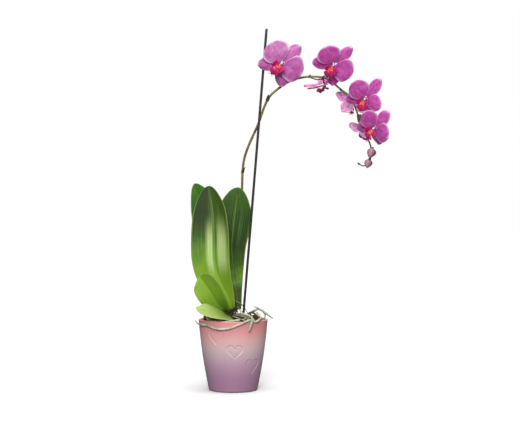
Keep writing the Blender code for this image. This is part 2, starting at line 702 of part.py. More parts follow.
def make_bud(name, bud, group):
    top = above_rim(*bud["top"])
    down = (above_rim(*bud["end"]) - top).normalized()
    body = bmesh.new()
    bmesh.ops.create_uvsphere(body, u_segments=12, v_segments=8, radius=0.5)
    width = bud["width"]
    length = BUD_LENGTH * width
    for vert in body.verts:
        share = 0.5 - vert.co.z
        plump = 0.86 + 0.22 * math.sin(math.pi * min(1.0, share * 1.15))
        vert.co.x *= length * 0.86 * plump
        vert.co.y *= length * 0.80 * plump
        vert.co.z = -share * length
    data = bpy.data.meshes.new(name)
    body.to_mesh(data)
    body.free()
    data.shade_smooth()
    obj = add_object(name, data, "bud", group)
    hangs = down.to_track_quat("-Z", "Y").to_matrix().to_4x4()
    obj.matrix_world = Matrix.Translation(top + down * TOUCH_GAP) @ hangs
    return obj


# ---------------------------------------------------------------- flower parts
# name, angle round the flower's centre in degrees, petal or sepal
TEPALS = (
    ("top_sepal", 90.0, "sepal"),
    ("left_sepal", 229.0, "sepal"),
    ("right_sepal", 311.0, "sepal"),
    ("left_petal", 168.0, "petal"),
    ("right_petal", 12.0, "petal"),
)


def make_tepal(name, place, angle, kind, sweep, sizes, group):
    is_petal = kind == "petal"
    length_share, width_share = sizes
    length = (PETAL_LENGTH if is_petal else SEPAL_LENGTH) * length_share
    half_width = (PETAL_WIDTH if is_petal else SEPAL_WIDTH) / 2.0 * width_share
    outline = PETAL_OUTLINE if is_petal else SEPAL_OUTLINE
    lift = PETAL_LIFT if is_petal else SEPAL_LIFT
    tip_drop = 0.09 if is_petal else 0.10
    bow = 0.0050 if is_petal else 0.0035
    rise = math.tan(math.radians(sweep))
    turn = Matrix.Rotation(math.radians(angle - 90.0), 4, "Z")

    def surface(u, v):
        width = half_width * interpolate(outline, u)
        out = TEPAL_START + (length - TEPAL_START) * (u - tip_drop * u**3 * v * v)
        far = out / length
        height = lift + out * rise - bow * far * far * (1.4 * far - 0.4) - 0.0035 * far * v * v
        return place @ turn @ Vector((width * v, out, height))

    segments = (5, 5) if is_petal else (4, 4)
    return sheet(name, surface, *segments, TEPAL_THICKNESS, "petal", group)


def make_lip(name, place, group):
    """Three-lobed lip: side lobes that stand up beside the column, then a narrower middle lobe."""
    half_width = LIP_WIDTH / 2.0

    def surface(u, v):
        width = half_width * interpolate(LIP_OUTLINE, u)
        stand = max(0.0, 1.0 - abs(u - 0.22) / 0.24)
        down = 0.0042 + LIP_LENGTH * (u * 0.92)
        forward = 0.0036 + 0.0085 * math.sin(math.pi * min(1.0, u * 0.95)) + 0.0035 * u
        forward += stand * 0.0075 * v * v + 0.0012 * (1.0 - stand) * -v * v
        across = width * v * (1.0 - 0.25 * stand * v * v)
        return place @ Vector((across, -down, forward))

    return sheet(name, surface, 4, 7, LIP_THICKNESS, "lip", group)


def make_flower(number, flower, group):
    place = flower_matrix(flower)
    petal_sweep, sepal_sweep = flower["sweep"]
    for part, angle, kind in TEPALS:
        sweep = petal_sweep if kind == "petal" else sepal_sweep
        sizes = flower["sizes"].get(part, (1.0, 1.0))
        make_tepal(f"flower_{number}_{part}", place, angle, kind, sweep, sizes, group)
    lip_turn = Matrix.Rotation(math.radians(flower["lip_turn"]), 4, "Z")
    make_lip(f"flower_{number}_lip", place @ lip_turn, group)


# ---------------------------------------------------------------- the whole object
def main():
    clear_scene()
    group = collection("potted_orchid")
    helpers = collection("cutters_and_joins")
    make_pot(group, helpers)
    make_grow_pot(group, helpers)
    make_bark(group, helpers)
    crown_tube("crown", 0.0, group)
    stake_tube("stake", STAKE_RADIUS, group)
    for name, leaf in LEAVES.items():
        make_leaf(name, leaf, group)
    make_roots(group, helpers)
    make_spike(group, helpers)
    for number, flower in enumerate(FLOWERS, 1):
        make_flower(number, flower, group)
    for number, bud in enumerate(BUDS, 1):
        make_bud(f"bud_{number}", bud, group)


main()
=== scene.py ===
import math

import bmesh
import bpy
import numpy as np
from mathutils import Matrix, Vector, noise


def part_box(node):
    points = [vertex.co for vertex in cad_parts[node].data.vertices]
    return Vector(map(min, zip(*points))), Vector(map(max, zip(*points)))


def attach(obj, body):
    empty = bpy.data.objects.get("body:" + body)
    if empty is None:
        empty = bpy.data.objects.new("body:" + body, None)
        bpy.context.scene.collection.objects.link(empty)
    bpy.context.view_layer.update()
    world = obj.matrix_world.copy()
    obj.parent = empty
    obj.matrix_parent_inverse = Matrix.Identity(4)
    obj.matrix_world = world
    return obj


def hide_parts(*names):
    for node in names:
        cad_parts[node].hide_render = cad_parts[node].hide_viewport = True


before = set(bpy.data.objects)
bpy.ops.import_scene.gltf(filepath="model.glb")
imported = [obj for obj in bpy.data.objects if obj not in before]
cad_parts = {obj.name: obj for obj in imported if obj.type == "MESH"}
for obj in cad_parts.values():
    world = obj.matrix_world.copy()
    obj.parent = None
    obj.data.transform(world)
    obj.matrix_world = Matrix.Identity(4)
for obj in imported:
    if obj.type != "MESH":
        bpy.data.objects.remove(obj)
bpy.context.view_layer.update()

rng = np.random.default_rng(11)
scene = bpy.context.scene

# ---------------------------------------------------------------- sizes shared with the CAD
POT_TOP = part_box("pot")[1].z
POT_RIM_RADIUS = 0.065
POT_FOOT_RADIUS = 0.0453
POT_BULGE = 0.0023
POT_FOOT_ROUNDING = 0.0045
POT_WALL = 0.0038
POT_FLOOR = 0.005
HEART_SIZE = 0.031
HEART_DEPTH = 0.001
HEARTS = ((-30, 0.0311), (4.2, 0.0574), (42, 0.0847))
STAKE_RADIUS = 0.00235
STAKE_LEAN = math.radians(4.64)
ROOT_RADIUS = 0.0021
REST = ROOT_RADIUS + 0.0004
LEAF_THICKNESS = 0.0022
LEAF_TIP_FROM = 0.78
SPIKE_RADIUS = 0.0023
SPIKE_TIP_RADIUS = 0.0012
STALK_RADIUS = 0.0013
COLUMN_LENGTH = 0.0085
TEPAL_THICKNESS = 0.001
TEPAL_START = 0.0036
PETAL_LENGTH = 0.0435
PETAL_WIDTH = 0.051
SEPAL_LENGTH = 0.045
SEPAL_WIDTH = 0.027
LIP_LENGTH = 0.024
LIP_FULLNESS = 1.1
BUD_LENGTH = 0.023

# ---------------------------------------------------------------- sizes of the looks alone
BARK_CHIPS = 190
CHIP_SIZES = ((0.0035, 0.0075), (0.0025, 0.005), (0.0012, 0.0028))
BARK_DROP = 0.004
LEAF_ROWS, LEAF_COLS = 72, 33
FLOOR_RADIUS = 14
CAMERA_PLACE = (0.0504, -2.3, 0.3367)
CAMERA_LENS = 84.7


# ---------------------------------------------------------------- shapes from arrays
def unit(vectors):
    return vectors / np.maximum(np.linalg.norm(vectors, axis=-1, keepdims=True), 1e-12)


def soft_step(values, low, high):
    t = np.clip((values - low) / (high - low), 0, 1)
    return t * t * (3 - 2 * t)


def curve(points, shares):
    """Points on the smooth curve through the given ones, at shares of its spans or so many of them."""
    shares = np.linspace(0, 1, shares) if np.isscalar(shares) else shares
    p = np.asarray(points, float).reshape(len(points), -1)
    p = np.vstack([2 * p[0] - p[1], p, 2 * p[-1] - p[-2]])
    spans = len(points) - 1
    place = np.clip(np.asarray(shares, float), 0, 1) * spans
    i = np.minimum(place.astype(int), spans - 1)
    t = (place - i)[:, None]
    a, b, c, d = p[i], p[i + 1], p[i + 2], p[i + 3]
    return 0.5 * (2 * b + (c - a) * t + (2 * a - 5 * b + 4 * c - d) * t**2
            + (3 * b - a - 3 * c + d) * t**3)


def profile(stations, shares):
    """Smooth value at each share of (share, value) stations that need not be evenly spaced."""
    places, values = np.array(stations, float).T
    slopes = np.gradient(values, places)
    x = np.clip(shares, places[0], places[-1])
    i = np.clip(np.searchsorted(places, x, side="right") - 1, 0, len(places) - 2)
    h = places[i + 1] - places[i]
    t = (x - places[i]) / h
    return ((2 * t**3 - 3 * t**2 + 1) * values[i] + (t**3 - 2 * t**2 + t) * h * slopes[i]
            + (3 * t**2 - 2 * t**3) * values[i + 1] + (t**3 - t**2) * h * slopes[i + 1])


def sheet(rows, cols):
    """Places of a sheet's points: 0 to 1 along its rows and -1 to 1 across them."""
    return np.meshgrid(np.linspace(0, 1, rows), np.linspace(-1, 1, cols), indexing="ij")


def wobble(points, size, seed=0):
    """Smooth noise from -1 to 1 at each point, with bumps about that size apart."""
    flat = np.asarray(points, float).reshape(-1, 3) / size + seed * 7.3
    return np.array([noise.noise(p) for p in flat]).reshape(np.shape(points)[:-1])


def from_rim(points):
    return np.asarray(points, float) + np.array((0, 0, POT_TOP))


def over_rim(degrees, out, up):
    angle = math.radians(degrees)
    radius = POT_RIM_RADIUS + out
    return (radius * math.sin(angle), -radius * math.cos(angle), POT_TOP + up)


class Shape:
    """Points, faces and shading values gathered into one mesh."""

    def __init__(self):
        self.points, self.faces, self.looks, self.values, self.count = [], [], [], [], 0

    def add(self, points, faces, look=0, **values):
        points = np.asarray(points, float).reshape(-1, 3)
        start = self.count
        self.points.append(points)
        self.faces += [[start + i for i in face] for face in faces]
        self.looks += [look] * len(faces)
        full = {k: np.broadcast_to(np.asarray(v, float).ravel(), len(points)) for k, v in values.items()}
        self.values.append((len(points), full))
        self.count += len(points)

    def make(self, name, looks, replaces=()):
        mesh = bpy.data.meshes.new(name)
        mesh.from_pydata(np.vstack(self.points).tolist(), [], self.faces)
        for look in looks:
            mesh.materials.append(look)
        mesh.polygons.foreach_set("material_index", self.looks)
        mesh.polygons.foreach_set("use_smooth", [True] * len(self.faces))
        for key in sorted({k for _, full in self.values for k in full}):
            column = np.concatenate([full.get(key, np.zeros(n)) for n, full in self.values])
            values = mesh.attributes.new(key, "FLOAT", "POINT").data
            values.foreach_set("value", column.astype(np.float32))
        mesh.update()
        piece = bpy.data.objects.new(name, mesh)
        scene.collection.objects.link(piece)
        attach(piece, "root")
        if replaces:
            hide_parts(*replaces)
        return piece


def grid_faces(rows, cols, wrap=False):
    """Quads of a grid, rows by cols, whose columns may join round."""
    faces = []
    for i in range(rows - 1):
        for j in range(cols if wrap else cols - 1):
            k = (j + 1) % cols
            faces.append((i * cols + j, i * cols + k, (i + 1) * cols + k, (i + 1) * cols + j))
    return faces


def shell(shape, middle, thickness, look=0, **values):
    """A closed sheet round a middle surface, given as rows of points, with rounded edges."""
    rows, cols = middle.shape[:2]
    thickness = np.broadcast_to(np.asarray(thickness, float), (rows, cols))
    normal = unit(np.cross(np.gradient(middle, axis=1), np.gradient(middle, axis=0)))
    half = normal * thickness[..., None] / 2
    ring = [(0, j) for j in range(cols)] + [(i, cols - 1) for i in range(1, rows)]
    ring += [(rows - 1, j) for j in range(cols - 2, -1, -1)] + [(i, 0) for i in range(rows - 2, 0, -1)]
    ri, rj = np.array(ring).T
    inner = middle[np.clip(ri, 1, rows - 2), np.clip(rj, 1, cols - 2)]
    rim = middle[ri, rj] + unit(middle[ri, rj] - inner) * thickness[ri, rj][:, None] * 0.45
    points = np.vstack([(middle + half).reshape(-1, 3), (middle - half).reshape(-1, 3), rim])
    count = rows * cols
    faces = grid_faces(rows, cols)
    faces += [tuple(count + i for i in reversed(face)) for face in grid_faces(rows, cols)]
    edge = ri * cols + rj
    for k in range(len(ring)):
        n = (k + 1) % len(ring)
        faces.append((edge[k], 2 * count + k, 2 * count + n, edge[n]))
        faces.append((2 * count + k, count + edge[k], count + edge[n], 2 * count + n))
    full = {}
    for key, value in values.items():
        value = np.broadcast_to(np.asarray(value, float), (rows, cols))
        full[key] = np.concatenate([value.ravel(), value.ravel(), value[ri, rj]])
    full["front"] = np.concatenate([np.ones(count), np.zeros(count), np.full(len(ring), 0.5)])
    shape.add(points, faces, look, **full)


def tube(shape, path, radii, sides=14, look=0, rough=0, **values):
    """A round tube along the path with domed ends. rough is how uneven its skin is."""
    path = np.asarray(path, float)
    radii = np.broadcast_to(np.asarray(radii, float), len(path)).copy()
    ends = np.radians((88, 62, 34))
    first, last = unit(path[1] - path[0]), unit(path[-1] - path[-2])
    head = [path[0] - first * radii[0] * math.sin(a) for a in ends]
    tail = [path[-1] + last * radii[-1] * math.sin(a) for a in ends[::-1]]
    radii = np.concatenate([radii[0] * np.cos(ends), radii, radii[-1] * np.cos(ends[::-1])])
    path = np.vstack([head, path, tail])
    tangent = unit(np.gradient(path, axis=0))
    side = unit(np.cross(tangent[0], (0.31, 0.87, 0.37)))
    frames = []
    for t in tangent:
        side = unit(side - t * np.dot(side, t))
        frames.append((side, np.cross(t, side)))
    frames = np.array(frames)
    turn = np.linspace(0, 2 * math.pi, sides, endpoint=False)
    ring = np.cos(turn)[None, :, None] * frames[:, None, 0]
    ring = ring + np.sin(turn)[None, :, None] * frames[:, None, 1]
    skin = radii[:, None]
    points = path[:, None] + ring * skin[..., None]
    if rough:
        bumps = wobble(points, 0.0045) + 0.6 * wobble(points, 0.0018, 3)
        points = path[:, None] + ring * (skin * (1 + rough * bumps))[..., None]
    rows = len(path)
    faces = grid_faces(rows, sides, wrap=True)
    faces.append(tuple(range(sides - 1, -1, -1)))
    faces.append(tuple((rows - 1) * sides + i for i in range(sides)))
    length = np.concatenate([[0], np.cumsum(np.linalg.norm(np.diff(path, axis=0), axis=1))])
    along = np.repeat(length / length[-1], sides)
    shape.add(points, faces, look, along=along, **values)


def turned(shape, outline, angle, warp, **values):
    """A solid turned round Z from its closed half outline, whose ends lie on the axis."""
    outline = np.asarray(outline, float)
    r, z = outline[:, :1], outline[:, 1:]
    points = np.stack([r * np.sin(angle), -r * np.cos(angle), z + 0 * angle], axis=-1)
    points = warp(points, angle)
    count = len(angle)
    inner = points[1:-1]
    faces = grid_faces(len(outline) - 2, count, wrap=True)
    faces = [tuple(reversed(f)) for f in faces]
    top, bottom = len(inner) * count, len(inner) * count + 1
    last = (len(inner) - 1) * count
    for j in range(count):
        k = (j + 1) % count
        faces.append((top, j, k))
        faces.append((bottom, last + k, last + j))
    every = np.vstack([inner.reshape(-1, 3), points[0, 0], points[-1, 0]])
    shape.add(every, faces, **values)


# ---------------------------------------------------------------- materials
def rgb(text):
    """A colour written as red, green and blue in hexadecimal, made linear."""
    parts = [int(text[i:i + 2], 16) / 255 for i in (0, 2, 4)]
    return tuple(c / 12.92 if c <= 0.04045 else ((c + 0.055) / 1.055) ** 2.4 for c in parts) + (1,)


class Nodes:
    """A material built one node at a time, ending in its Principled shader."""

    def __init__(self, name, **shader):
        self.material = bpy.data.materials.new(name)
        self.material.use_nodes = True
        self.tree = self.material.node_tree
        self.shader = self.tree.nodes["Principled BSDF"]
        for key, value in shader.items():
            self.shader.inputs[key.replace("_", " ")].default_value = value

    def add(self, kind, inputs=(), **settings):
        node = self.tree.nodes.new("ShaderNode" + kind)
        for key, value in settings.items():
            setattr(node, key, value)
        for key, value in dict(inputs).items():
            if isinstance(value, bpy.types.NodeSocket):
                self.tree.links.new(value, node.inputs[key])
            else:
                node.inputs[key].default_value = value
        return node

    def value(self, name):
        return self.add("Attribute", attribute_name=name).outputs["Fac"]

    def place(self):
        return self.add("TexCoord").outputs["Object"]

    def math(self, operation, a, b=0, c=0):
        return self.add("Math", {0: a, 1: b, 2: c}, operation=operation).outputs[0]

    def times(self, a, b):
        return self.math("MULTIPLY", a, b)

    def nudged(self, value, noise, amount):
        """The value, moved up or down by as much as half the amount where the noise says so."""
        return self.math("ADD", value, self.times(self.math("SUBTRACT", noise, 0.5), amount))

    def vector(self, x, y, z=0):
        return self.add("CombineXYZ", {0: x, 1: y, 2: z}).outputs[0]

    def lined(self, across, fine, along, coarse, seed=0):
        """A place on a sheet whose noise makes lines along it."""
        return self.vector(self.times(across, fine), self.times(along, coarse), seed)

    def scaled(self, scale):
        return self.add("Mapping", {"Vector": self.place(), "Scale": scale}).outputs[0]

    def noise(self, scale, detail=3, rough=0.5, at=None):
        inputs = {"Vector": at or self.place(), "Scale": scale, "Detail": detail, "Roughness": rough}
        return self.add("TexNoise", inputs).outputs["Fac"]

    def cells(self, scale, feature="DISTANCE_TO_EDGE", at=None):
        inputs = {"Vector": at or self.place(), "Scale": scale}
        return self.add("TexVoronoi", inputs, feature=feature).outputs["Distance"]

    def fade(self, value, low, high):
        inputs = {"Value": value, "From Min": low, "From Max": high}
        return self.add("MapRange", inputs, interpolation_type="SMOOTHSTEP").outputs[0]

    def between(self, value, low, high):
        return self.add("MapRange", {"Value": value, "To Min": low, "To Max": high}).outputs[0]

    def ramp(self, value, *stops):
        node = self.add("ValToRGB", {0: value})
        ends = node.color_ramp.elements
        while len(ends) < len(stops):
            ends.new(0.5)
        for end, (place, colour) in zip(ends, stops):
            end.position = place
            end.color = rgb(colour)
        return node.outputs[0]

    def mix(self, share, a, b):
        a, b = (rgb(c) if isinstance(c, str) else c for c in (a, b))
        return self.add("Mix", {0: share, 6: a, 7: b}, data_type="RGBA").outputs[2]

    def cover(self, share, over):
        """Lays a colour over the material's own."""
        self.colour = self.mix(share, self.colour, over)

    def tint(self, where, strength, over):
        self.cover(self.times(where, strength), over)

    def bump(self, height, strength, distance, under=None):
        inputs = {"Height": height, "Strength": strength, "Distance": distance}
        if under is not None:
            inputs["Normal"] = under
        return self.add("Bump", inputs).outputs[0]

    def done(self, roughness, normal):
        self.tree.links.new(self.colour, self.shader.inputs["Base Color"])
        if roughness is not None:
            self.tree.links.new(roughness, self.shader.inputs["Roughness"])
        if normal is not None:
            self.tree.links.new(normal, self.shader.inputs["Normal"])
        return self.material


def glaze_look():
    """Airbrushed satin glaze: rosy at the rim, grey-pink in the middle, mauve below."""
    m = Nodes("pot_glaze", Coat_Weight=0.12, Coat_Roughness=0.3)
    height = m.value("height")
    spray = m.noise(38, 5, 0.6)
    fine = m.noise(900, 2, 0.5)
    shifted = m.nudged(height, spray, 0.05)
    shifted = m.nudged(shifted, fine, 0.05)
    m.colour = m.ramp(shifted, (0, "A87C98"), (0.22, "AC82A0"), (0.38, "BC98AC"), (0.5, "CBAEB8"),
            (0.62, "DCBCBC"), (0.74, "E8B4B4"), (0.86, "EAA0A2"), (1, "E48E92"))
    specks = m.fade(m.cells(420, "F1"), 0.1, 0.02)
    m.tint(specks, 0.25, "8A5A70")
    roughness = m.between(spray, 0.34, 0.46)
    skin = m.bump(m.noise(260, 2), 0.1, 0.0006)
    return m.done(roughness, m.bump(fine, 0.05, 0.0003, skin))


def plastic_look():
    m = Nodes("grow_pot_plastic", Transmission_Weight=0.75, IOR=1.49)
    haze = m.noise(60, 4)
    m.colour = m.ramp(haze, (0.3, "CFD2CB"), (0.7, "E6E8E2"))
    roughness = m.between(haze, 0.16, 0.42)
    return m.done(roughness, m.bump(haze, 0.2, 0.0005))


def bark_look():
    """Chips of reddish conifer bark, layered, crumbly and a little damp."""
    m = Nodes("bark", Specular_IOR_Level=0.3)
    tone = m.value("tone")
    grain = m.noise(210, 6, 0.65, at=m.scaled((1, 1, 3)))
    patches = m.noise(70, 3)
    m.colour = m.ramp(m.math("ADD", m.times(grain, 0.7), m.times(tone, 0.45)),
            (0.2, "1E100C"), (0.42, "40201A"), (0.6, "6A3424"), (0.8, "94583A"), (0.95, "B58458"))
    m.cover(m.fade(patches, 0.62, 0.75), "2A1812")
    roughness = m.between(patches, 0.7, 0.95)
    rough = m.bump(grain, 0.9, 0.0012)
    return m.done(roughness, m.bump(m.cells(330), 0.5, 0.0006, rough))


def stake_look():
    m = Nodes("stake", Coat_Weight=0.15, Coat_Roughness=0.35)
    lines = m.noise(1500, 3, at=m.scaled((1, 1, 0.06)))
    stain = m.noise(90, 3, at=m.scaled((1, 1, 0.3)))
    m.colour = m.ramp(lines, (0.25, "150D12"), (0.55, "251920"), (0.8, "3A2934"))
    m.cover(m.fade(stain, 0.55, 0.7), "2A1B23")
    roughness = m.between(stain, 0.34, 0.55)
    return m.done(roughness, m.bump(lines, 0.35, 0.0004))


def leaf_look(name, stops, painted_sheen_strength):
    """Waxy leaf: colour along the blade, fine lines along its veins, paler near the midrib and edges.

    The last argument sets how strong the painted sheen is: pale bands beside the midrib that stand in for
    highlights. A leaf that has it also gets painted shade, darker towards the edges in the upper blade
    and on the left side near the top.
    """
    m = Nodes(name, Subsurface_Weight=0.1, Subsurface_Scale=0.003, Specular_IOR_Level=0.15,
            Coat_Weight=0.02, Coat_Roughness=0.3, Subsurface_Radius=(0.6, 1, 0.2))
    along, across, front = m.value("along"), m.value("across"), m.value("front")
    blotch = m.noise(28, 4, 0.55)
    lines = m.noise(1, 4, 0.6, at=m.lined(across, 26, along, 2.2))
    fine = m.noise(1, 2, at=m.lined(across, 90, along, 5))
    shifted = m.nudged(along, blotch, 0.28)
    m.colour = m.ramp(shifted, *stops)
    m.tint(m.fade(lines, 0.45, 0.75), 0.275, "A9C46A")
    m.tint(m.fade(lines, 0.48, 0.25), 0.3, "2C4A1C")
    reach = m.math("ABSOLUTE", across)
    if painted_sheen_strength:
        # Painted sheen: pale bands either side of the midrib, in the middle of the blade, standing in for
        # highlights.
        left = m.times(m.fade(across, -0.46, -0.24), m.fade(across, -0.05, -0.13))
        right = m.times(m.fade(across, 0.1, 0.28), m.fade(across, 0.98, 0.66))
        window = m.times(m.fade(along, 0.3, 0.5), m.fade(along, 0.82, 0.6))
        painted_sheen_mask = m.times(m.math("ADD", left, right), window)
        painted_sheen_mask = m.times(painted_sheen_mask, m.math("ADD", m.times(lines, 0.9), 0.25))
        # Painted shade: darker towards the edges in the upper blade, and darker still on the left side
        # near the top.
        painted_leaf_shade = m.times(m.fade(reach, 0.35, 0.95), m.fade(along, 0.5, 0.7))
        m.tint(painted_leaf_shade, 0.35, "263C14")
        painted_leaf_shade = m.times(m.fade(across, -0.05, -0.35), m.fade(along, 0.58, 0.8))
        m.tint(painted_leaf_shade, 0.8, "20300E")
        m.cover(m.math("MINIMUM", m.times(painted_sheen_mask, painted_sheen_strength), 0.95), "CCE296")
    m.tint(m.fade(reach, 0.07, 0), 0.45, "9CBC5C")
    m.tint(m.fade(reach, 0.93, 1), 0.5, "9DB75A")
    m.cover(m.fade(front, 0.7, 0.3), m.mix(0.55, m.colour, "7E9A4C"))
    roughness = m.between(blotch, 0.5, 0.64)
    veins = m.bump(lines, 0.35, 0.0008)
    return m.done(roughness, m.bump(fine, 0.18, 0.0004, veins))


def root_look():
    """Aerial root: spongy silver skin, greener where damp, with brown scars and tips."""
    m = Nodes("root_skin", Specular_IOR_Level=0.35)
    along = m.value("along")
    damp = m.noise(75, 4, 0.6)
    scars = m.noise(240, 4, 0.7)
    m.colour = m.ramp(damp, (0.3, "8E9A76"), (0.48, "B4BBA0"), (0.62, "CDCDB8"), (0.8, "B59E7C"))
    m.tint(m.fade(scars, 0.58, 0.74), 0.75, "7A6248")
    tip = m.times(m.fade(m.math("ABSOLUTE", m.math("SUBTRACT", along, 0.5)), 0.42, 0.5), 0.6)
    m.cover(m.times(tip, m.value("tip")), "A08A5C")
    m.cover(m.value("dry"), "4E3822")
    m.cover(m.times(m.value("base"), m.fade(along, 0.52, 0.34)), "3A2C16")
    roughness = m.between(scars, 0.55, 0.82)
    rough = m.bump(damp, 0.5, 0.001)
    return m.done(roughness, m.bump(scars, 0.6, 0.0006, rough))


def stem_look(name="flower_stem", low="55492A", middle="786E38", high="8C9446"):
    m = Nodes(name, Coat_Weight=0.06, Coat_Roughness=0.3)
    blotch = m.noise(42, 4, 0.6)
    dots = m.noise(650, 3, 0.6, at=m.scaled((1, 1, 0.5)))
    m.colour = m.ramp(blotch, (0.32, low), (0.5, middle), (0.68, high))
    m.tint(m.fade(dots, 0.58, 0.7), 0.55, "4A3A26")
    m.tint(m.value("blush"), 0.85, "B583A0")
    roughness = m.between(dots, 0.36, 0.56)
    return m.done(roughness, m.bump(dots, 0.25, 0.0004))


def sheath_look():
    m = Nodes("dry_sheath", Specular_IOR_Level=0.35)
    along, across = m.value("along"), m.value("across")
    lines = m.noise(1, 4, 0.6, at=m.lined(across, 20, along, 1.5))
    m.colour = m.ramp(lines, (0.3, "20160F"), (0.52, "43321D"), (0.72, "6E5C36"))
    m.tint(m.fade(along, 0.55, 0), 0.6, "4C4A22")
    roughness = m.between(lines, 0.5, 0.8)
    return m.done(roughness, m.bump(lines, 0.6, 0.0008))


def tepal_look(name, throat, body, pale, edge, back, back_body):
    """Petal skin: netted darker veins that fan out, a soft pale edge, and a paler back."""
    m = Nodes(name, Subsurface_Weight=0.22, Subsurface_Scale=0.0022, Sheen_Weight=0.12,
            Sheen_Roughness=0.4, Roughness=0.46, Subsurface_Radius=(1, 0.35, 0.75))
    along, across, front, seed = (m.value(k) for k in ("along", "across", "front", "seed"))
    cloud = m.noise(2.4, 3, 0.55, at=m.vector(across, m.times(along, 1.6), seed))
    streaks = m.noise(1, 3, 0.6, at=m.lined(across, 13, along, 2.4, seed))
    net = m.cells(1, at=m.lined(across, 7, along, 5.5, seed))
    veins = m.times(m.fade(net, 0.07, 0), 0.5)
    veins = m.math("MAXIMUM", veins, m.times(m.fade(streaks, 0.56, 0.72), 0.45))
    m.colour = m.mix(m.fade(cloud, 0.38, 0.66), body, pale)
    m.cover(veins, throat)
    m.tint(m.fade(along, 0.34, 0.02), 0.75, throat)
    white = m.times(m.fade(along, 0.12, 0), m.fade(streaks, 0.52, 0.4))
    m.tint(white, 0.5, "F0D0E6")
    rim = m.math("MAXIMUM", m.fade(m.math("ABSOLUTE", across), 0.78, 1), m.fade(along, 0.89, 1))
    m.tint(rim, 0.88, edge)
    behind = m.mix(m.math("MAXIMUM", m.times(veins, 0.8), m.fade(cloud, 0.62, 0.42)), back, back_body)
    m.cover(m.fade(front, 0.7, 0.3), behind)
    skin = m.bump(net, 0.16, 0.0005)
    return m.done(None, m.bump(streaks, 0.3, 0.0007, skin))


def lip_look(name, skin, deep, line):
    """Crimson lip with darker lines, fading to yellow at its base and magenta at its edges."""
    m = Nodes(name, Subsurface_Weight=0.15, Subsurface_Scale=0.002, Sheen_Weight=0.1, Roughness=0.4,
            Subsurface_Radius=(1, 0.2, 0.35))
    along, across, seed = m.value("along"), m.value("across"), m.value("seed")
    lines = m.noise(1, 3, at=m.lined(across, 11, along, 1.5, seed))
    cloud = m.noise(260, 3)
    m.colour = m.mix(m.fade(cloud, 0.4, 0.65), skin, deep)
    m.tint(m.fade(lines, 0.54, 0.68), 0.65, line)
    m.tint(m.fade(along, 0.3, 0), 0.7, "E8A040")
    edge = m.math("MAXIMUM", m.fade(m.math("ABSOLUTE", across), 0.55, 1), m.fade(along, 0.8, 1))
    m.tint(edge, 0.6, "E03CA4")
    return m.done(None, m.bump(lines, 0.4, 0.0005))


def callus_look():
    m = Nodes("callus", Roughness=0.34, Coat_Weight=0.2, Coat_Roughness=0.2)
    dots = m.cells(1500, "F1")
    m.colour = m.mix(m.fade(dots, 0.46, 0.3), "E88A2C", "9C1C16")
    return m.done(None, m.bump(dots, 0.2, 0.0003))


def column_look():
    """White and pink column with the smooth pollen cap at its end."""
    m = Nodes("column", Roughness=0.36, Subsurface_Weight=0.2, Subsurface_Scale=0.002)
    along = m.value("along")
    cloud = m.noise(420, 3)
    shifted = m.nudged(along, cloud, 0.25)
    m.colour = m.ramp(shifted, (0, "A8408E"), (0.55, "C468AC"), (0.82, "DCA4CC"), (1, "F0DCE8"))
    return m.done(None, m.bump(cloud, 0.15, 0.0003))


def bud_look():
    """Closed bud: dusky pink sepals over a brownish-green base, with faint ribs and painted shade in
    maroon on one side.
    """
    m = Nodes("bud_skin", Roughness=0.45, Subsurface_Weight=0.12, Subsurface_Scale=0.003,
            Sheen_Weight=0.1)
    along, seam, shade = m.value("along"), m.value("seam"), m.value("shade")
    blotch = m.noise(170, 4, 0.6)
    ribs = m.noise(900, 3, at=m.scaled((1, 1, 0.25)))
    shifted = m.nudged(along, blotch, 0.45)
    m.colour = m.ramp(shifted, (0, "8A6440"), (0.16, "9C7458"), (0.34, "C890A0"),
            (0.72, "CC88AC"), (1, "BC4C8C"))
    # Painted shade: maroon over the side of the bud that faces +X and down.
    m.tint(m.fade(shade, 0.44, 0.64), 0.85, "742C48")
    m.tint(m.fade(ribs, 0.55, 0.7), 0.35, "8A4A5A")
    m.tint(seam, 0.65, "DEB8A8")
    return m.done(None, m.bump(ribs, 0.35, 0.0005))


# ---------------------------------------------------------------- pot, grow pot and bark
def pot_radius(z):
    t = z / POT_TOP
    return POT_FOOT_RADIUS + (POT_RIM_RADIUS - POT_FOOT_RADIUS) * t + POT_BULGE * 4 * t * (1 - t)


def heart_outline():
    t = np.linspace(0, 2 * math.pi, 180, endpoint=False)
    scale = HEART_SIZE / 32
    up = 13 * np.cos(t) - 5 * np.cos(2 * t) - 2 * np.cos(3 * t) - np.cos(4 * t) + 2.5
    return np.stack([16 * np.sin(t) ** 3, up], axis=-1) * scale


def depth_in_heart(across, up, outline):
    """How far inside the outline each point lies, negative outside it."""
    a, b = outline, np.roll(outline, -1, axis=0)
    p = np.stack([across, up], axis=-1)[:, None]
    edge = b - a
    t = np.clip(((p - a) * edge).sum(-1) / (edge**2).sum(-1), 0, 1)
    away = np.linalg.norm(p - (a + edge * t[..., None]), axis=-1).min(axis=1)
    crosses = (a[:, 1] > p[..., 1]) != (b[:, 1] > p[..., 1])
    slope = np.where(edge[:, 1] == 0, 1e-12, edge[:, 1])
    left = p[..., 0] < a[:, 0] + (p[..., 1] - a[:, 1]) * edge[:, 0] / slope
    inside = (crosses & left).sum(axis=1) % 2 == 1
    return np.where(inside, away, -away)


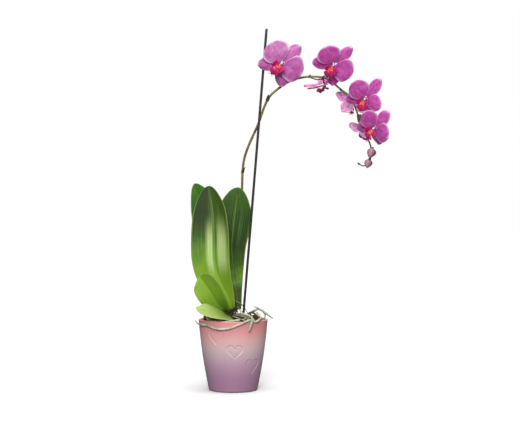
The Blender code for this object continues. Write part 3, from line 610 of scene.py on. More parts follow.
def make_pot():
    rounding = POT_FOOT_ROUNDING
    lip = 0.0012
    top = POT_TOP - lip
    wall = [(pot_radius(z), z) for z in np.linspace(top, 0.119, 8)]
    wall += [(pot_radius(z), z) for z in np.linspace(0.1185, 0.032, 136)]
    wall += [(pot_radius(z), z) for z in np.linspace(0.031, rounding, 12)]
    corner = pot_radius(rounding) - rounding
    foot = [(corner + rounding * math.cos(a), rounding * (1 - math.sin(a)))
            for a in np.radians(range(12, 84, 12))]
    under = [(corner - 0.0005, 0), (corner - 0.006, 0), (corner - 0.0068, 0.0006), (0, 0.0008)]
    inner = [(pot_radius(z) - POT_WALL, z) for z in np.linspace(POT_FLOOR + 0.004, top, 14)]
    middle = POT_RIM_RADIUS - POT_WALL / 2
    bead = [(middle - 0.5 * POT_WALL * math.cos(a), top + lip * math.sin(a))
            for a in np.radians(range(18, 180, 18))]
    outline = [(0, POT_FLOOR), (inner[0][0] - 0.004, POT_FLOOR), *inner, *bead, *wall, *foot, *under]
    angle = np.radians(np.concatenate([np.arange(-48, 63, 0.6), np.arange(63, 312, 3)]))
    hearts = heart_outline()

    def press_hearts(points, angle):
        for degrees, drop in HEARTS:
            middle_z = POT_TOP - drop
            across = (angle[None, :] - math.radians(degrees)) * pot_radius(middle_z)
            up = points[..., 2] - middle_z
            outer = np.hypot(points[..., 0], points[..., 1]) > pot_radius(points[..., 2]) - 1e-4
            near = outer & (abs(across) < HEART_SIZE * 0.6) & (abs(up) < HEART_SIZE * 0.65)
            inside = depth_in_heart(np.broadcast_to(across, up.shape)[near], up[near], hearts)
            groove = np.exp(-((inside - 0.0014) / 0.0011) ** 2)
            press = HEART_DEPTH * (0.62 * soft_step(inside, -0.0009, 0.0014) + 0.45 * groove)
            scale = 1 - press / np.hypot(points[near, 0], points[near, 1])
            points[near, 0] *= scale
            points[near, 1] *= scale
        return points

    pot = Shape()
    rows = np.array(outline)
    height = np.concatenate([np.repeat(rows[1:-1, 1] / POT_TOP, len(angle)), [0, 0]])
    turned(pot, outline, angle, press_hearts, height=height)
    pot.make("cover_pot", [glaze_look()], ["pot"])


def make_bark():
    low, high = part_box("bark")
    edge = (high.x - low.x) / 2
    radii = np.linspace(0.002, edge, 30)
    outline = [(0, high.z)] + [(r, high.z - BARK_DROP * (r / edge) ** 2) for r in radii]
    outline += [(edge * 0.97, high.z - 0.02), (edge * 0.8, low.z + 0.001), (0, low.z + 0.001)]

    def lumpy(points, angle):
        lump = wobble(points, 0.009) * 0.0016 + wobble(points, 0.003, 2) * 0.0006 - 0.0022
        points[..., 2] += np.where(points[..., 2] > high.z - 0.012, lump, 0)
        return points

    bark = Shape()
    turned(bark, outline, np.linspace(0, 2 * math.pi, 96, endpoint=False), lumpy, tone=0.1)
    ball = bmesh.new()
    bmesh.ops.create_icosphere(ball, subdivisions=3, radius=1)
    ball_points = np.array([v.co for v in ball.verts])
    ball_faces = [[v.index for v in f.verts] for f in ball.faces]
    ball.free()
    stake_low, stake_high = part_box("stake")
    stake_x = stake_low.x + STAKE_RADIUS + (high.z - stake_low.z) * math.tan(STAKE_LEAN)
    keep_off = ((stake_x, (stake_low.y + stake_high.y) / 2, 0.0075), (0.001, 0, 0.0125))
    made = 0
    while made < BARK_CHIPS:
        spot = edge * 0.93 * math.sqrt(rng.random())
        angle = rng.random() * 2 * math.pi
        x, y = spot * math.cos(angle), spot * math.sin(angle)
        if any(math.hypot(x - ax, y - ay) < gap for ax, ay, gap in keep_off):
            continue
        size = np.array([rng.uniform(*r) for r in CHIP_SIZES])
        if spot > edge * 0.8:
            size[:2] = np.minimum(size[:2], 0.0045)
        body = np.sign(ball_points) * np.abs(ball_points) ** 0.55
        body = unit(body) * (0.75 + 0.25 * np.linalg.norm(body, axis=1, keepdims=True))
        body = body * (1 + 0.28 * wobble(ball_points, 0.9, made)[:, None]
                + 0.1 * wobble(ball_points, 0.28, made + 0.5)[:, None])
        body[:, 2] = np.clip(body[:, 2], -0.72, 0.72)
        turn = (Matrix.Rotation(rng.uniform(0, 6.28), 3, "Z")
                @ Matrix.Rotation(rng.normal(0, 0.35), 3, "X")
                @ Matrix.Rotation(rng.normal(0, 0.25), 3, "Y"))
        z = high.z - BARK_DROP * (spot / edge) ** 2 - 0.0012 + rng.uniform(-0.0008, 0.0022)
        points = (body * size) @ np.array(turn).T + (x, y, z)
        bark.add(points, ball_faces, tone=rng.uniform(0, 1))
        made += 1
    for x, y, up, tall, tone in (
            (-0.0515, 0.014, 0.0015, 0.007, 0.75), (-0.0455, -0.026, -0.002, 0.0045, 0.75),
            (0.049, 0.015, -0.001, 0.005, 0.75), (0.0335, -0.01, 0.002, 0.0075, 0.15),
            (0.041, -0.015, 0.0005, 0.007, 0.25), (0.0285, -0.016, 0.001, 0.006, 0.1),
            (0.048, -0.012, -0.001, 0.0055, 0.7), (0.04, -0.002, 0.002, 0.006, 0.35),
            (0.012, -0.017, 0.001, 0.0065, 0.1), (0.006, -0.021, 0, 0.0055, 0.2),
            (0.019, -0.019, 0, 0.0055, 0.15), (-0.02, 0.03, 0, 0.006, 0.6),
            (-0.038, 0.026, 0, 0.0055, 0.8), (-0.048, 0, -0.0005, 0.005, 0.55)):
        body = ball_points * (1 + 0.3 * wobble(ball_points, 0.8, x * 900)[:, None])
        body = body * (1 + 0.12 * wobble(ball_points, 0.25, y * 700)[:, None])
        points = body * (0.0052, 0.005, tall) + (x, y, POT_TOP + up)
        bark.add(points, ball_faces, tone=tone)
    bark.make("bark_chips", [bark_look()], ["bark"])


# ---------------------------------------------------------------- stake and crown
def make_stake():
    low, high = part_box("stake")
    y = (low.y + high.y) / 2
    along = np.array((math.sin(STAKE_LEAN), 0, math.cos(STAKE_LEAN)))
    foot = np.array((low.x + STAKE_RADIUS, y, low.z + STAKE_RADIUS * 0.2))
    length = (high.z - foot[2]) / along[2] - STAKE_RADIUS
    path = foot + along * np.linspace(0, length, 60)[:, None]
    stake = Shape()
    tube(stake, path, STAKE_RADIUS * (1 + 0.012 * np.sin(np.linspace(0, 40, 60))), 24, rough=0.012)
    stake.make("support_stake", [stake_look()], ["stake"])


# foot and tip of each withered leaf base, its half width and the way its back leans
OLD_BASES = (
    ((-0.002, -0.012, -0.002), (-0.012, -0.015, 0.0215), 0.0075, -0.3),
    ((0.003, -0.013, 0.004), (-0.0025, -0.015, 0.019), 0.005, 0.1),
    ((0.004, -0.01, 0.002), (0.0035, -0.012, 0.024), 0.005, 0.4),
    ((-0.008, -0.01, -0.002), (-0.019, -0.015, 0.015), 0.006, -0.6),
)


# turn, foot, height and half spread of each dry sheath round the stem
SHEATHS = ((-100, 0.006, 0.016, 62), (-20, 0.009, 0.014, 58), (60, 0.008, 0.019, 64),
        (140, 0.007, 0.016, 60), (215, 0.012, 0.013, 55), (20, 0.016, 0.013, 45))


def make_crown():
    """The short stem with the dry bases of fallen leaves clasping it."""
    low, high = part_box("crown")
    x, y = (low.x + high.x) / 2, (low.y + high.y) / 2
    crown = Shape()
    heights = np.linspace(low.z + 0.001, high.z - 0.001, 30)
    shares = (heights - low.z) / (high.z - low.z)
    radii = profile([(0, 0.006), (0.25, 0.007), (0.5, 0.0064), (0.75, 0.0046), (1, 0.0022)], shares)
    middle = np.stack([np.full(30, x), np.full(30, y), heights], axis=-1)
    tube(crown, middle, radii, 24, rough=0.1, blush=0)
    for k, (turn, base, tall, wide) in enumerate(SHEATHS):
        u, v = sheet(14, 15)
        spread = np.radians(turn + v * wide * (1 - 0.75 * u**1.6))
        z = low.z + base + tall * u
        radius = profile([(0, 0.0068), (0.4, 0.0082), (1, 0.0086)], u)
        radius = radius * (1 - 0.35 * np.clip((z - low.z - 0.018) / 0.02, 0, 1)) + 0.0006 * wobble(
            np.stack([u * 3, v * 3, u * 0 + k], axis=-1), 1)
        middle = np.stack([x + radius * np.sin(spread), y - radius * np.cos(spread), z], axis=-1)
        shell(crown, middle, 0.0007, 1, along=u, across=v)
    for foot, tip, half_width, lean in OLD_BASES:
        u, v = sheet(16, 13)
        foot, tip = np.array(foot), np.array(tip)
        along = unit(tip - foot)
        across = unit(np.cross(along, (lean, -1, 0.2)))
        out = np.cross(across, along)
        half = half_width * profile([(0, 0.85), (0.35, 1), (0.75, 0.85), (1, 0.35)], u)
        middle = foot + (tip - foot) * u[..., None] + across * (half * v)[..., None]
        cup = 0.0035 * v**2 - 0.0025 * np.sin(math.pi * u) + 0.0007 * wobble(
            np.stack([u * 3, v * 2, u * 0 + half_width * 900], axis=-1), 1)
        shell(crown, from_rim(middle) + out * cup[..., None], 0.0008, 1, along=0.75 + 0.25 * u, across=v)
    skin = stem_look("crown_skin", "241A12", "42381E", "5C5C2A")
    crown.make("crown_stem", [skin, sheath_look()], ["crown"])


# ---------------------------------------------------------------- leaves
LEAVES = {
    "leaf_back_left": {
        "midrib": ((-0.0085, 0.0075, 0.016), (-0.02, 0.023, 0.05), (-0.036, 0.0305, 0.1),
            (-0.047, 0.031, 0.158), (-0.056, 0.027, 0.21), (-0.073, 0.019, 0.2545)),
        "widths": (0.005, 0.015, 0.026, 0.0285, 0.026, 0.018), "turn": 6, "tilt": 0, "fold": 16,
        "stops": ((0, "7C9C3A"), (0.35, "3E6822"), (0.7, "2E5A18"), (0.92, "3E7024"), (1, "4C7E2C")),
    },
    # The centre leaf alone has painted sheen beside its midrib and painted shade at its top.
    "leaf_centre": {
        "midrib": ((-0.001, -0.0108, 0.0205), (-0.011, -0.015, 0.045), (-0.03, -0.02, 0.08),
            (-0.037, -0.023, 0.113), (-0.0385, -0.022, 0.158), (-0.0405, -0.018, 0.203),
            (-0.0455, -0.012, 0.249)),
        "widths": (0.005, 0.0155, 0.0315, 0.0362, 0.0362, 0.032, 0.0245), "turn": -21, "tilt": 0,
        "fold": 22,
        "stops": ((0, "6E9228"), (0.16, "8EB62E"), (0.36, "8CB430"), (0.52, "6A962A"), (0.66, "486A20"),
            (0.85, "40581E"), (1, "4C6026")), "painted_sheen_strength": 1.05, "uneven": (0.11, 1.07),
    },
    "leaf_right": {
        "midrib": ((0.011, 0.005, 0.018), (0.0075, 0.013, 0.05), (0.0005, 0.019, 0.095),
            (-0.003, 0.021, 0.135), (-0.0003, 0.0205, 0.169), (0.0038, 0.019, 0.204),
            (0.0092, 0.016, 0.247)),
        "widths": (0.0042, 0.0095, 0.0205, 0.028, 0.032, 0.0325, 0.0275), "turn": -8, "tilt": 0,
        "fold": 13,
        "stops": ((0, "2C3814"), (0.1, "34421A"), (0.17, "3E5422"), (0.25, "6A8A36"), (0.34, "3C5C1C"),
            (0.48, "243E16"), (0.8, "28461C"), (1, "466A28")),
    },
    "leaf_front_left": {
        "midrib": ((-0.01, -0.0085, 0.014), (-0.018, -0.021, 0.022), (-0.0275, -0.03, 0.0325),
            (-0.0367, -0.035, 0.0461), (-0.046, -0.0362, 0.0605), (-0.0534, -0.0358, 0.0725),
            (-0.0608, -0.0345, 0.0815)),
        "widths": (0.005, 0.0125, 0.0215, 0.028, 0.029, 0.025, 0.019), "turn": -27, "tilt": 6,
        "fold": 24,
        "stops": ((0, "4E741E"), (0.3, "6C9422"), (0.6, "82AA2C"), (1, "86AC34")), "lower": 0.8,
    },
    "leaf_lowest": {
        "midrib": ((-0.0005, -0.018, 0), (-0.012, -0.032, 0.0052), (-0.0265, -0.043, 0.0112),
            (-0.041, -0.05, 0.016), (-0.055, -0.053, 0.0205), (-0.0665, -0.053, 0.0248)),
        "widths": (0.0068, 0.0158, 0.0196, 0.0196, 0.016, 0.01), "turn": 0, "tilt": 58, "fold": 10,
        "stops": ((0, "7E9E40"), (0.35, "98B258"), (0.7, "A6BC6A"), (1, "AEC070")),
    },
}


def make_leaf(name, leaf):
    t = np.linspace(0, 1, LEAF_ROWS)
    share = 1 - (1 - t) ** 1.35
    turn, tilt = math.radians(leaf["turn"]), math.radians(leaf["tilt"])
    facing = np.array((math.sin(turn) * math.cos(tilt), -math.cos(turn) * math.cos(tilt), math.sin(tilt)))
    middle = curve(from_rim(leaf["midrib"]), share)
    along = unit(np.gradient(middle, axis=0))
    up = unit(facing - along * (along @ facing)[:, None])
    across = np.cross(along, up)
    beyond = np.clip((share - LEAF_TIP_FROM) / (1 - LEAF_TIP_FROM), 0, 1)
    width = curve(leaf["widths"], share)[:, 0] * np.sqrt(1 - 0.99 * beyond**2)
    s = np.linspace(-1, 1, LEAF_COLS)
    v = np.sign(s) * np.abs(s) ** 1.25
    fold = math.tan(math.radians(leaf["fold"]))
    reach = np.abs(v)[None, :]
    off, fuller = leaf.get("uneven", (0, 1))
    spread = off + v * (1 - off * np.sign(v))
    spread = np.where(spread > 0, spread * fuller, spread * leaf.get("lower", 1))
    groove = np.exp(-(v[None, :] / 0.07) ** 2) * np.minimum(1, width[:, None] / 0.02)
    wave = np.sin(share[:, None] * 9 + np.sign(v)[None, :] * 0.9 + leaf["turn"]) * reach**3 * 0.0007
    height = width[:, None] * fold * reach**1.25 - 0.0008 * groove + wave
    points = (middle[:, None] + across[:, None] * (width[:, None] * spread[None, :])[..., None]
            + up[:, None] * height[..., None])
    thickness = LEAF_THICKNESS * (1 - 0.62 * reach**3) + 0.0006 * groove
    piece = Shape()
    shell(piece, points, thickness, along=share[:, None], across=v[None, :])
    look = leaf_look(name + "_skin", leaf["stops"], leaf.get("painted_sheen_strength", 0))
    piece.make(name.replace("leaf", "blade"), [look], [name])


# ---------------------------------------------------------------- roots
def make_roots():
    skin = root_look()
    routes = {
        "root_front": [over_rim(*p) for p in (
            (55, -0.01, 0.012 + REST), (53, 0, 0.0036 + REST), (46, REST, 0.0008 + REST * 0.6),
            (38, REST, -0.001), (31, REST * 0.6, REST), (25, REST * 0.9, REST * 0.8),
            (17, REST, -0.002), (8, REST, -0.006), (-4, REST, -0.0115), (-16, REST, -0.0135),
            (-28, REST, -0.0125), (-42, REST, -0.008), (-58, REST, -0.0075),
            (-72, REST + 0.0006, -0.0075), (-84, REST + 0.0032, -0.003))],
        "root_rim": [over_rim(*p) for p in (
            (-62, -0.009, 0.0085), (-55, -0.0092, 0.001), (-42, -0.009, -0.0014),
            (-24, -0.009, -0.0024), (-8, -0.0092, -0.0006), (4, -0.0105, 0.0012),
            (13, -0.016, 0.0008), (17, -0.023, 0.0016))],
        "root_silver": from_rim(((0.012, -0.011, 0.008), (0.018, -0.024, 0.011),
                (0.026, -0.034, 0.0105), (0.033, -0.04, 0.007),
                (0.039, -0.044, 0.001))),
        "root_arch": from_rim(((0.024, -0.009, -0.0008), (0.03, -0.016, 0.01),
                (0.042, -0.02, 0.018), (0.048, -0.022, 0.02),
                (0.056, -0.024, 0.0165), (0.062, -0.025, 0.012),
                (0.0735, -0.025, 0.0035))),
        "root_hanging": [over_rim(*p) for p in (
            (32, -0.011, 0.0025), (31, -0.001, REST * 3.3), (30, REST * 2, REST * 3.3),
            (29, REST * 3.5, REST * 0.6), (27, REST * 3.2, -0.008), (24.5, REST * 3, -0.016))],
    }
    ends = {"root_front": (0.9, 0.5), "root_rim": (0.6, 0.8), "root_silver": (0.8, 0.9),
            "root_arch": (0.75, 0.6), "root_hanging": (0.9, 0.5)}
    for name, route in routes.items():
        count = len(route) * 14
        t = np.linspace(0, 1, count)
        path = curve(route, t)
        first, last = ends[name]
        radii = ROOT_RADIUS * np.minimum.reduce([np.ones(count), first + (1 - first) * t / 0.15,
                last + (1 - last) * (1 - t) / 0.15])
        piece = Shape()
        tube(piece, path, radii, 16, rough=0.14, tip=1, dry=0, base=0.85 * (name == "root_arch"))
        if name == "root_arch":
            stub = curve(from_rim(((0.049, -0.022, 0.02), (0.044, -0.0235, 0.0235),
                    (0.0385, -0.024, 0.0245))), 24)
            tube(piece, stub, ROOT_RADIUS * np.linspace(0.75, 0.42, 24), 14, rough=0.16, tip=1, dry=0.15)
            fork = curve(from_rim(((0.056, -0.024, 0.016), (0.06, -0.0215, 0.009),
                    (0.059, -0.02, 0.004))), 20)
            tube(piece, fork, ROOT_RADIUS * np.linspace(0.7, 0.5, 20), 12, rough=0.16, tip=1, dry=0.1)
        piece.make("air_" + name, [skin], [name])
    strands = Shape()
    for route in (((0.006, -0.009, 0.02), (0.01, -0.014, 0.022), (0.014, -0.019, 0.015),
            (0.018, -0.023, 0.002)),
            ((0.028, -0.022, 0), (0.024, -0.024, 0.007), (0.019, -0.023, 0.013),
            (0.014, -0.02, 0.019)),
            ((0.006, -0.012, 0.009), (0.015, -0.02, 0.005), (0.03, -0.028, 0.004),
            (0.04, -0.03, -0.001)),
            ((0, -0.013, 0.006), (0.006, -0.026, 0.005), (0.014, -0.036, 0.003),
            (0.025, -0.044, -0.001)),
            ((-0.006, 0.01, 0.006), (-0.014, 0.02, 0.005), (-0.027, 0.033, 0.001)),
            ((0.003, 0.006, 0.034), (0.0071, 0.006, 0.0315), (0.0165, 0.006, 0.0259),
            (0.0222, 0.004, 0.0183), (0.0259, 0, 0.0127), (0.03, -0.006, 0.004)),
            ((0.007, 0.008, 0.006), (0.018, 0.022, 0.006), (0.036, 0.033, 0))):
        count = 12 * len(route)
        thin = np.linspace(0.9, 0.45, count) * ROOT_RADIUS * rng.uniform(0.45, 0.75)
        tube(strands, curve(from_rim(route), count), thin, 10, rough=0.15,
             tip=0.5, dry=rng.uniform(0.35, 0.8))
    for route, width, dry in (
            (((-0.003, -0.0085, 0.016), (0.004, -0.0115, 0.013), (0.011, -0.013, 0.0105),
            (0.017, -0.0205, 0.0112)), 0.85, 0.05),
            (((0.002, -0.011, 0.01), (0.0075, -0.02, 0.0075), (0.015, -0.027, 0.0075),
            (0.0235, -0.033, 0.005), (0.03, -0.042, 0)), 0.5, 0.6),
            (((0.006, -0.033, 0.001), (0.013, -0.035, 0.0015), (0.021, -0.035, 0.002),
            (0.025, -0.032, 0.005), (0.0225, -0.028, 0.0085), (0.016, -0.024, 0.0085)), 0.6, 0.2),
            (((0.0245, -0.008, 0.002), (0.027, -0.012, 0.0095), (0.033, -0.013, 0.013),
            (0.04, -0.012, 0.011), (0.047, -0.01, 0.003)), 0.9, 0.9)):
        count = 12 * len(route)
        tube(strands, curve(from_rim(route), count), ROOT_RADIUS * width, 14, rough=0.15, tip=0.6,
             dry=dry)
    strands.make("thin_roots", [skin])


# ---------------------------------------------------------------- flower spike
# how far behind the pot's middle the spike is where it passes the top of the stake
CROSS = 0.006
SPIKE_ROUTE = (
    (0.001, 0.0105, 0.022), (0.006, 0.023, 0.05), (0.011, 0.0275, 0.1), (0.0135, 0.0275, 0.16),
    (0.0155, 0.0255, 0.215), (0.0165, 0.023, 0.25), (0.0175, 0.02, 0.28), (0.0215, 0.015, 0.305),
    (0.031, 0.009, 0.331), (0.046, CROSS, 0.364), (0.0535, CROSS, 0.385), (0.059, CROSS, 0.4),
    (0.069, 0.005, 0.419), (0.0885, 0.005, 0.436), (0.108, 0.005, 0.448), (0.131, 0.005, 0.4545),
    (0.15, 0.005, 0.456), (0.168, 0.005, 0.4545), (0.183, 0.005, 0.4485), (0.196, 0.005, 0.4375),
    (0.212, 0.005, 0.423), (0.226, 0.005, 0.406), (0.232, 0.005, 0.392), (0.237, 0.005, 0.377),
    (0.243, 0.005, 0.362), (0.2505, 0.005, 0.345), (0.258, 0.005, 0.328), (0.26, 0.005, 0.315),
    (0.258, 0.0055, 0.299), (0.252, 0.006, 0.29), (0.244, 0.006, 0.288), (0.237, 0.0055, 0.2915),
)
# facing is turn and rise, sizes are shares of length and width, sweep is for petals and for sepals,
# and leaves_at counts along SPIKE_ROUTE
FLOWERS = (
    {"centre": (0.0925, -0.024, 0.4785), "facing": (-8, -8), "roll": 46, "size": 1, "lip_turn": 0,
     "sizes": {"left_petal": (1, 0.97), "right_petal": (0.95, 0.93), "left_sepal": (1.07, 1)},
     "sweep": (2, -4), "leaves_at": 14, "bend": (0.101, -0.006, 0.462)},
    {"centre": (0.1885, -0.028, 0.4765), "facing": (-10, -24), "roll": 50, "size": 0.94, "lip_turn": 15,
     "sizes": {"left_petal": (0.91, 0.9), "right_petal": (0.95, 0.9), "top_sepal": (1.04, 0.86),
            "right_sepal": (1.08, 1)},
     "sweep": (14, -2), "leaves_at": 17, "bend": (0.183, -0.01, 0.468)},
    {"centre": (0.2475, -0.038, 0.4125), "facing": (-32, -20), "roll": 44.5, "size": 0.92, "lip_turn": 13,
     "sizes": {"left_petal": (0.95, 0.92), "right_petal": (0.84, 0.66), "top_sepal": (1.08, 0.92),
            "left_sepal": (1.16, 0.9), "right_sepal": (0.8, 0.9)},
     "sweep": (17, 0), "leaves_at": 20.3, "bend": (0.232, -0.016, 0.423)},
    {"centre": (0.2628, -0.058, 0.3564), "facing": (-42, -18), "roll": 49, "size": 0.9, "lip_turn": 6,
     "sizes": {"left_petal": (0.89, 0.87), "right_petal": (0.84, 0.8), "left_sepal": (1.2, 0.95),
            "right_sepal": (0.86, 0.95)},
     "sweep": (17, 0), "leaves_at": 24, "bend": (0.256, -0.032, 0.364)},
    {"centre": (0.1735, 0.0415, 0.4465), "facing": (121, -66), "roll": -85, "size": 0.86,
     "lip_turn": 0, "sizes": {},
     "sweep": (0, -4), "leaves_at": 15.6, "bend": (0.156, 0.024, 0.453)},
    {"centre": (0.227, 0.033, 0.411), "facing": (210, -28), "roll": -12, "size": 0.8, "lip_turn": 0,
     "sizes": {"right_petal": (1.08, 0.52), "right_sepal": (1.38, 1.05), "top_sepal": (0.9, 0.8)},
     "sweep": (4, -6), "leaves_at": 19.4, "bend": (0.215, 0.02, 0.426)},
    {"centre": (0.25, 0.038, 0.36), "facing": (212, -38), "roll": 6, "size": 0.8, "lip_turn": 0,
     "sizes": {"right_petal": (1.02, 0.58), "right_sepal": (1.1, 1), "top_sepal": (0.8, 0.9)},
     "sweep": (4, -6), "leaves_at": 22.6, "bend": (0.24, 0.022, 0.378)},
)
BUDS = (
    {"top": (0.2612, -0.011, 0.319), "end": (0.2545, -0.0195, 0.302), "width": 0.9, "leaves_at": 26.8},
    {"top": (0.255, -0.0045, 0.2992), "end": (0.251, -0.011, 0.285), "width": 0.8, "leaves_at": 28.2},
)


def flower_matrix(flower):
    """Local +Z is the way the flower faces, and +Y points to its top sepal."""
    turn, rise = (math.radians(a) for a in flower["facing"])
    facing = Vector((math.sin(turn) * math.cos(rise), -math.cos(turn) * math.cos(rise), math.sin(rise)))
    up = (Vector((0, 0, 1)) - facing * facing.z).normalized()
    up = Matrix.Rotation(-math.radians(flower["roll"]), 3, facing) @ up
    right = up.cross(facing)
    turned_to = Matrix((right, up, facing)).transposed().to_4x4()
    centre = Vector(from_rim(flower["centre"]))
    return np.array(Matrix.Translation(centre) @ turned_to @ Matrix.Scale(flower["size"], 4))


def moved(matrix, points):
    return np.asarray(points, float) @ matrix[:3, :3].T + matrix[:3, 3]


CAP_RADII = np.array((1.6, 2, 2.2, 2.3, 2.3, 2.2, 2, 1.7, 1.3, 0.8)) * 0.001


def bract(shape, path, place, radius, length, turn, look):
    """The small dry scale that clasps the stem at a node."""
    i = int(round(place * (len(path) - 1)))
    along = unit(path[min(i + 1, len(path) - 1)] - path[i - 1])
    side = unit(np.cross(along, (math.sin(turn), math.cos(turn), 0.31)))
    other = np.cross(along, side)
    u, v = sheet(10, 11)
    angle = v * 1.9 * (1 - u**1.5 * 0.93)
    out = radius * (1.12 + 0.1 * u + 0.75 * u**3)
    ring = np.cos(angle)[..., None] * side + np.sin(angle)[..., None] * other
    middle = path[i] + along * (u * length - 0.001)[..., None] + ring * out[..., None]
    shell(shape, middle[:, ::-1], 0.0004, look, along=u, across=v, blush=0)


def make_spike():
    spike = Shape()
    spans = len(SPIKE_ROUTE) - 1
    t = np.linspace(0, 1, spans * 10 + 1)
    path = curve(from_rim(SPIKE_ROUTE), t)
    radii = SPIKE_RADIUS + (SPIKE_TIP_RADIUS - SPIKE_RADIUS) * np.clip(t - 0.35, 0, 1) / 0.65
    rings = [1.6, 3.6, 5.9, 11.6] + [f["leaves_at"] for f in FLOWERS] + [b["leaves_at"] for b in BUDS]
    for ring in rings:
        radii = radii * (1 + 0.22 * np.exp(-((t * spans - ring) / 0.1) ** 2))
    tube(spike, path, radii, 16, rough=0.03, blush=0)
    for k, ring in enumerate(rings):
        length = 0.011 if ring < 12 else 0.0048
        radius = radii[int(ring / spans * (len(t) - 1))]
        bract(spike, path, ring / spans, radius, length, 1.7 * k, 1)
    for flower in FLOWERS:
        place = flower_matrix(flower)
        start = path[int(round(flower["leaves_at"] / spans * (len(path) - 1)))]
        back, neck = moved(place, ((0, 0, -0.01), (0, 0, -0.003)))
        stalk = curve([start, from_rim(flower["bend"]), back, neck], 40)
        width = STALK_RADIUS * (1 + 0.42 * soft_step(np.linspace(0, 1, 40), 0.45, 0.95))
        tube(spike, stalk, width, 12, rough=0.04, blush=0.35)
        column = moved(place, curve(((0, 0, -0.002), (0, 0, 0.0015), (0, -0.0002, 0.0045),
                (0, -0.001, COLUMN_LENGTH)), 22))
        girth = profile([(0, 0.0016), (0.35, 0.0019), (0.7, 0.0023), (0.9, 0.0024), (1, 0.0019)],
                np.linspace(0, 1, 22))
        tube(spike, column, girth * flower["size"], 18, look=2)
        cap = moved(place, curve(((0, -0.0008, 0.0068), (0, -0.0014, 0.0086), (0, -0.003, 0.0094)), 10))
        tube(spike, cap, CAP_RADII * flower["size"], 16, look=3)
    for bud in BUDS:
        start = path[int(round(bud["leaves_at"] / spans * (len(path) - 1)))]
        top, end = from_rim(bud["top"]), from_rim(bud["end"])
        down = unit(end - top)
        neck = top + down * 0.0006
        stalk = curve([start, start + (neck - start) * 0.6 - down * 0.004, neck - down * 0.003, neck], 24)
        tube(spike, stalk, STALK_RADIUS * np.linspace(1, 1.25, 24), 12, rough=0.04, blush=0.15)
    tip = path[-1] + unit(path[-1] - path[-5]) * np.linspace(-0.001, 0.003, 12)[:, None]
    tube(spike, tip, 0.0019 * np.sin(np.linspace(0.9, 2.7, 12)), 14, look=4, rough=0.1, blush=0)
    looks = [stem_look(), sheath_look(), column_look(), anther_look()]
    looks.append(stem_look("tip_scales", "120F0B", "241E15", "3A3222"))
    spike.make("flower_stem", looks, ["flower_spike"])


def anther_look():
    m = Nodes("anther_cap", Roughness=0.3, Subsurface_Weight=0.2, Subsurface_Scale=0.002, Coat_Weight=0.2)
    cloud = m.noise(500, 3)
    m.colour = m.ramp(cloud, (0.3, "F2DCE8"), (0.6, "FCF6F8"))
    return m.done(None, m.bump(cloud, 0.15, 0.0003))


def make_bud(number, bud):
    top = Vector(from_rim(bud["top"]))
    down = (Vector(from_rim(bud["end"])) - top).normalized()
    length = BUD_LENGTH * bud["width"]
    turn = down.to_track_quat("-Z", "Y").to_matrix().to_4x4()
    place = np.array(Matrix.Translation(top + down * 0.0004) @ turn)
    rows, cols = 34, 48
    t = np.linspace(0.004, 0.996, rows)[:, None]
    angle = np.linspace(0, 2 * math.pi, cols, endpoint=False)[None, :]
    plump = profile([(0, 0.05), (0.03, 0.36), (0.1, 0.66), (0.22, 0.92), (0.34, 1), (0.5, 0.9),
            (0.68, 0.65), (0.83, 0.39), (0.94, 0.18), (1, 0.03)], t)
    seam = sum(np.exp(-((np.angle(np.exp(1j * (angle - a)))) / 0.11) ** 2) for a in (0.5, 2.6, 4.7))
    seam = seam * soft_step(t, 0.12, 0.4)
    wide = plump * 0.5 * length * (1 - 0.07 * seam + 0.04 * np.cos(3 * (angle - 1.55)))
    points = np.stack([wide * 0.86 * np.cos(angle), wide * 0.8 * np.sin(angle),
            np.broadcast_to(-t * length, wide.shape)], axis=-1)
    faces = [tuple(reversed(f)) for f in grid_faces(rows, cols, wrap=True)]
    faces.append(tuple(range(cols)))
    faces.append(tuple((rows - 1) * cols + i for i in range(cols - 1, -1, -1)))
    piece = Shape()
    skin = moved(place, points)
    # Painted shade: how far each point lies towards +X and down, which the bud's skin paints maroon.
    toward_painted_shade = (skin - skin.mean(axis=1, keepdims=True)) @ np.array((0.9, 0, -0.35)) / (0.43 * length)
    piece.add(skin, faces, along=np.broadcast_to(t, wide.shape), seam=np.clip(seam, 0, 1),
            shade=np.clip(0.5 + 0.5 * toward_painted_shade, 0, 1))
    piece.make(f"closed_bud_{number}", [bud_look()], [f"bud_{number}"])


# ---------------------------------------------------------------- open flowers
# the way each one points from the column, in degrees, seen from the flower's front
TEPALS = {"top_sepal": 90, "left_sepal": 229, "right_sepal": 311, "left_petal": 168, "right_petal": 12}
# share of the way out and share of the full half width there
PETAL_OUTLINE = ((0, 0.18), (0.08, 0.47), (0.18, 0.76), (0.32, 0.94), (0.46, 0.99), (0.6, 1),
        (0.78, 0.985), (1, 0.93))
SEPAL_OUTLINE = ((0, 0.22), (0.1, 0.47), (0.24, 0.8), (0.4, 0.95), (0.56, 0.995), (0.72, 0.97), (1, 0.82))
CALLUS_RADII = np.array((1, 1.3, 1.5, 1.6, 1.6, 1.55, 1.45, 1.3, 1, 0.7)) * 0.001
PETAL_TIP_FROM = 0.56
SEPAL_TIP_FROM = 0.55


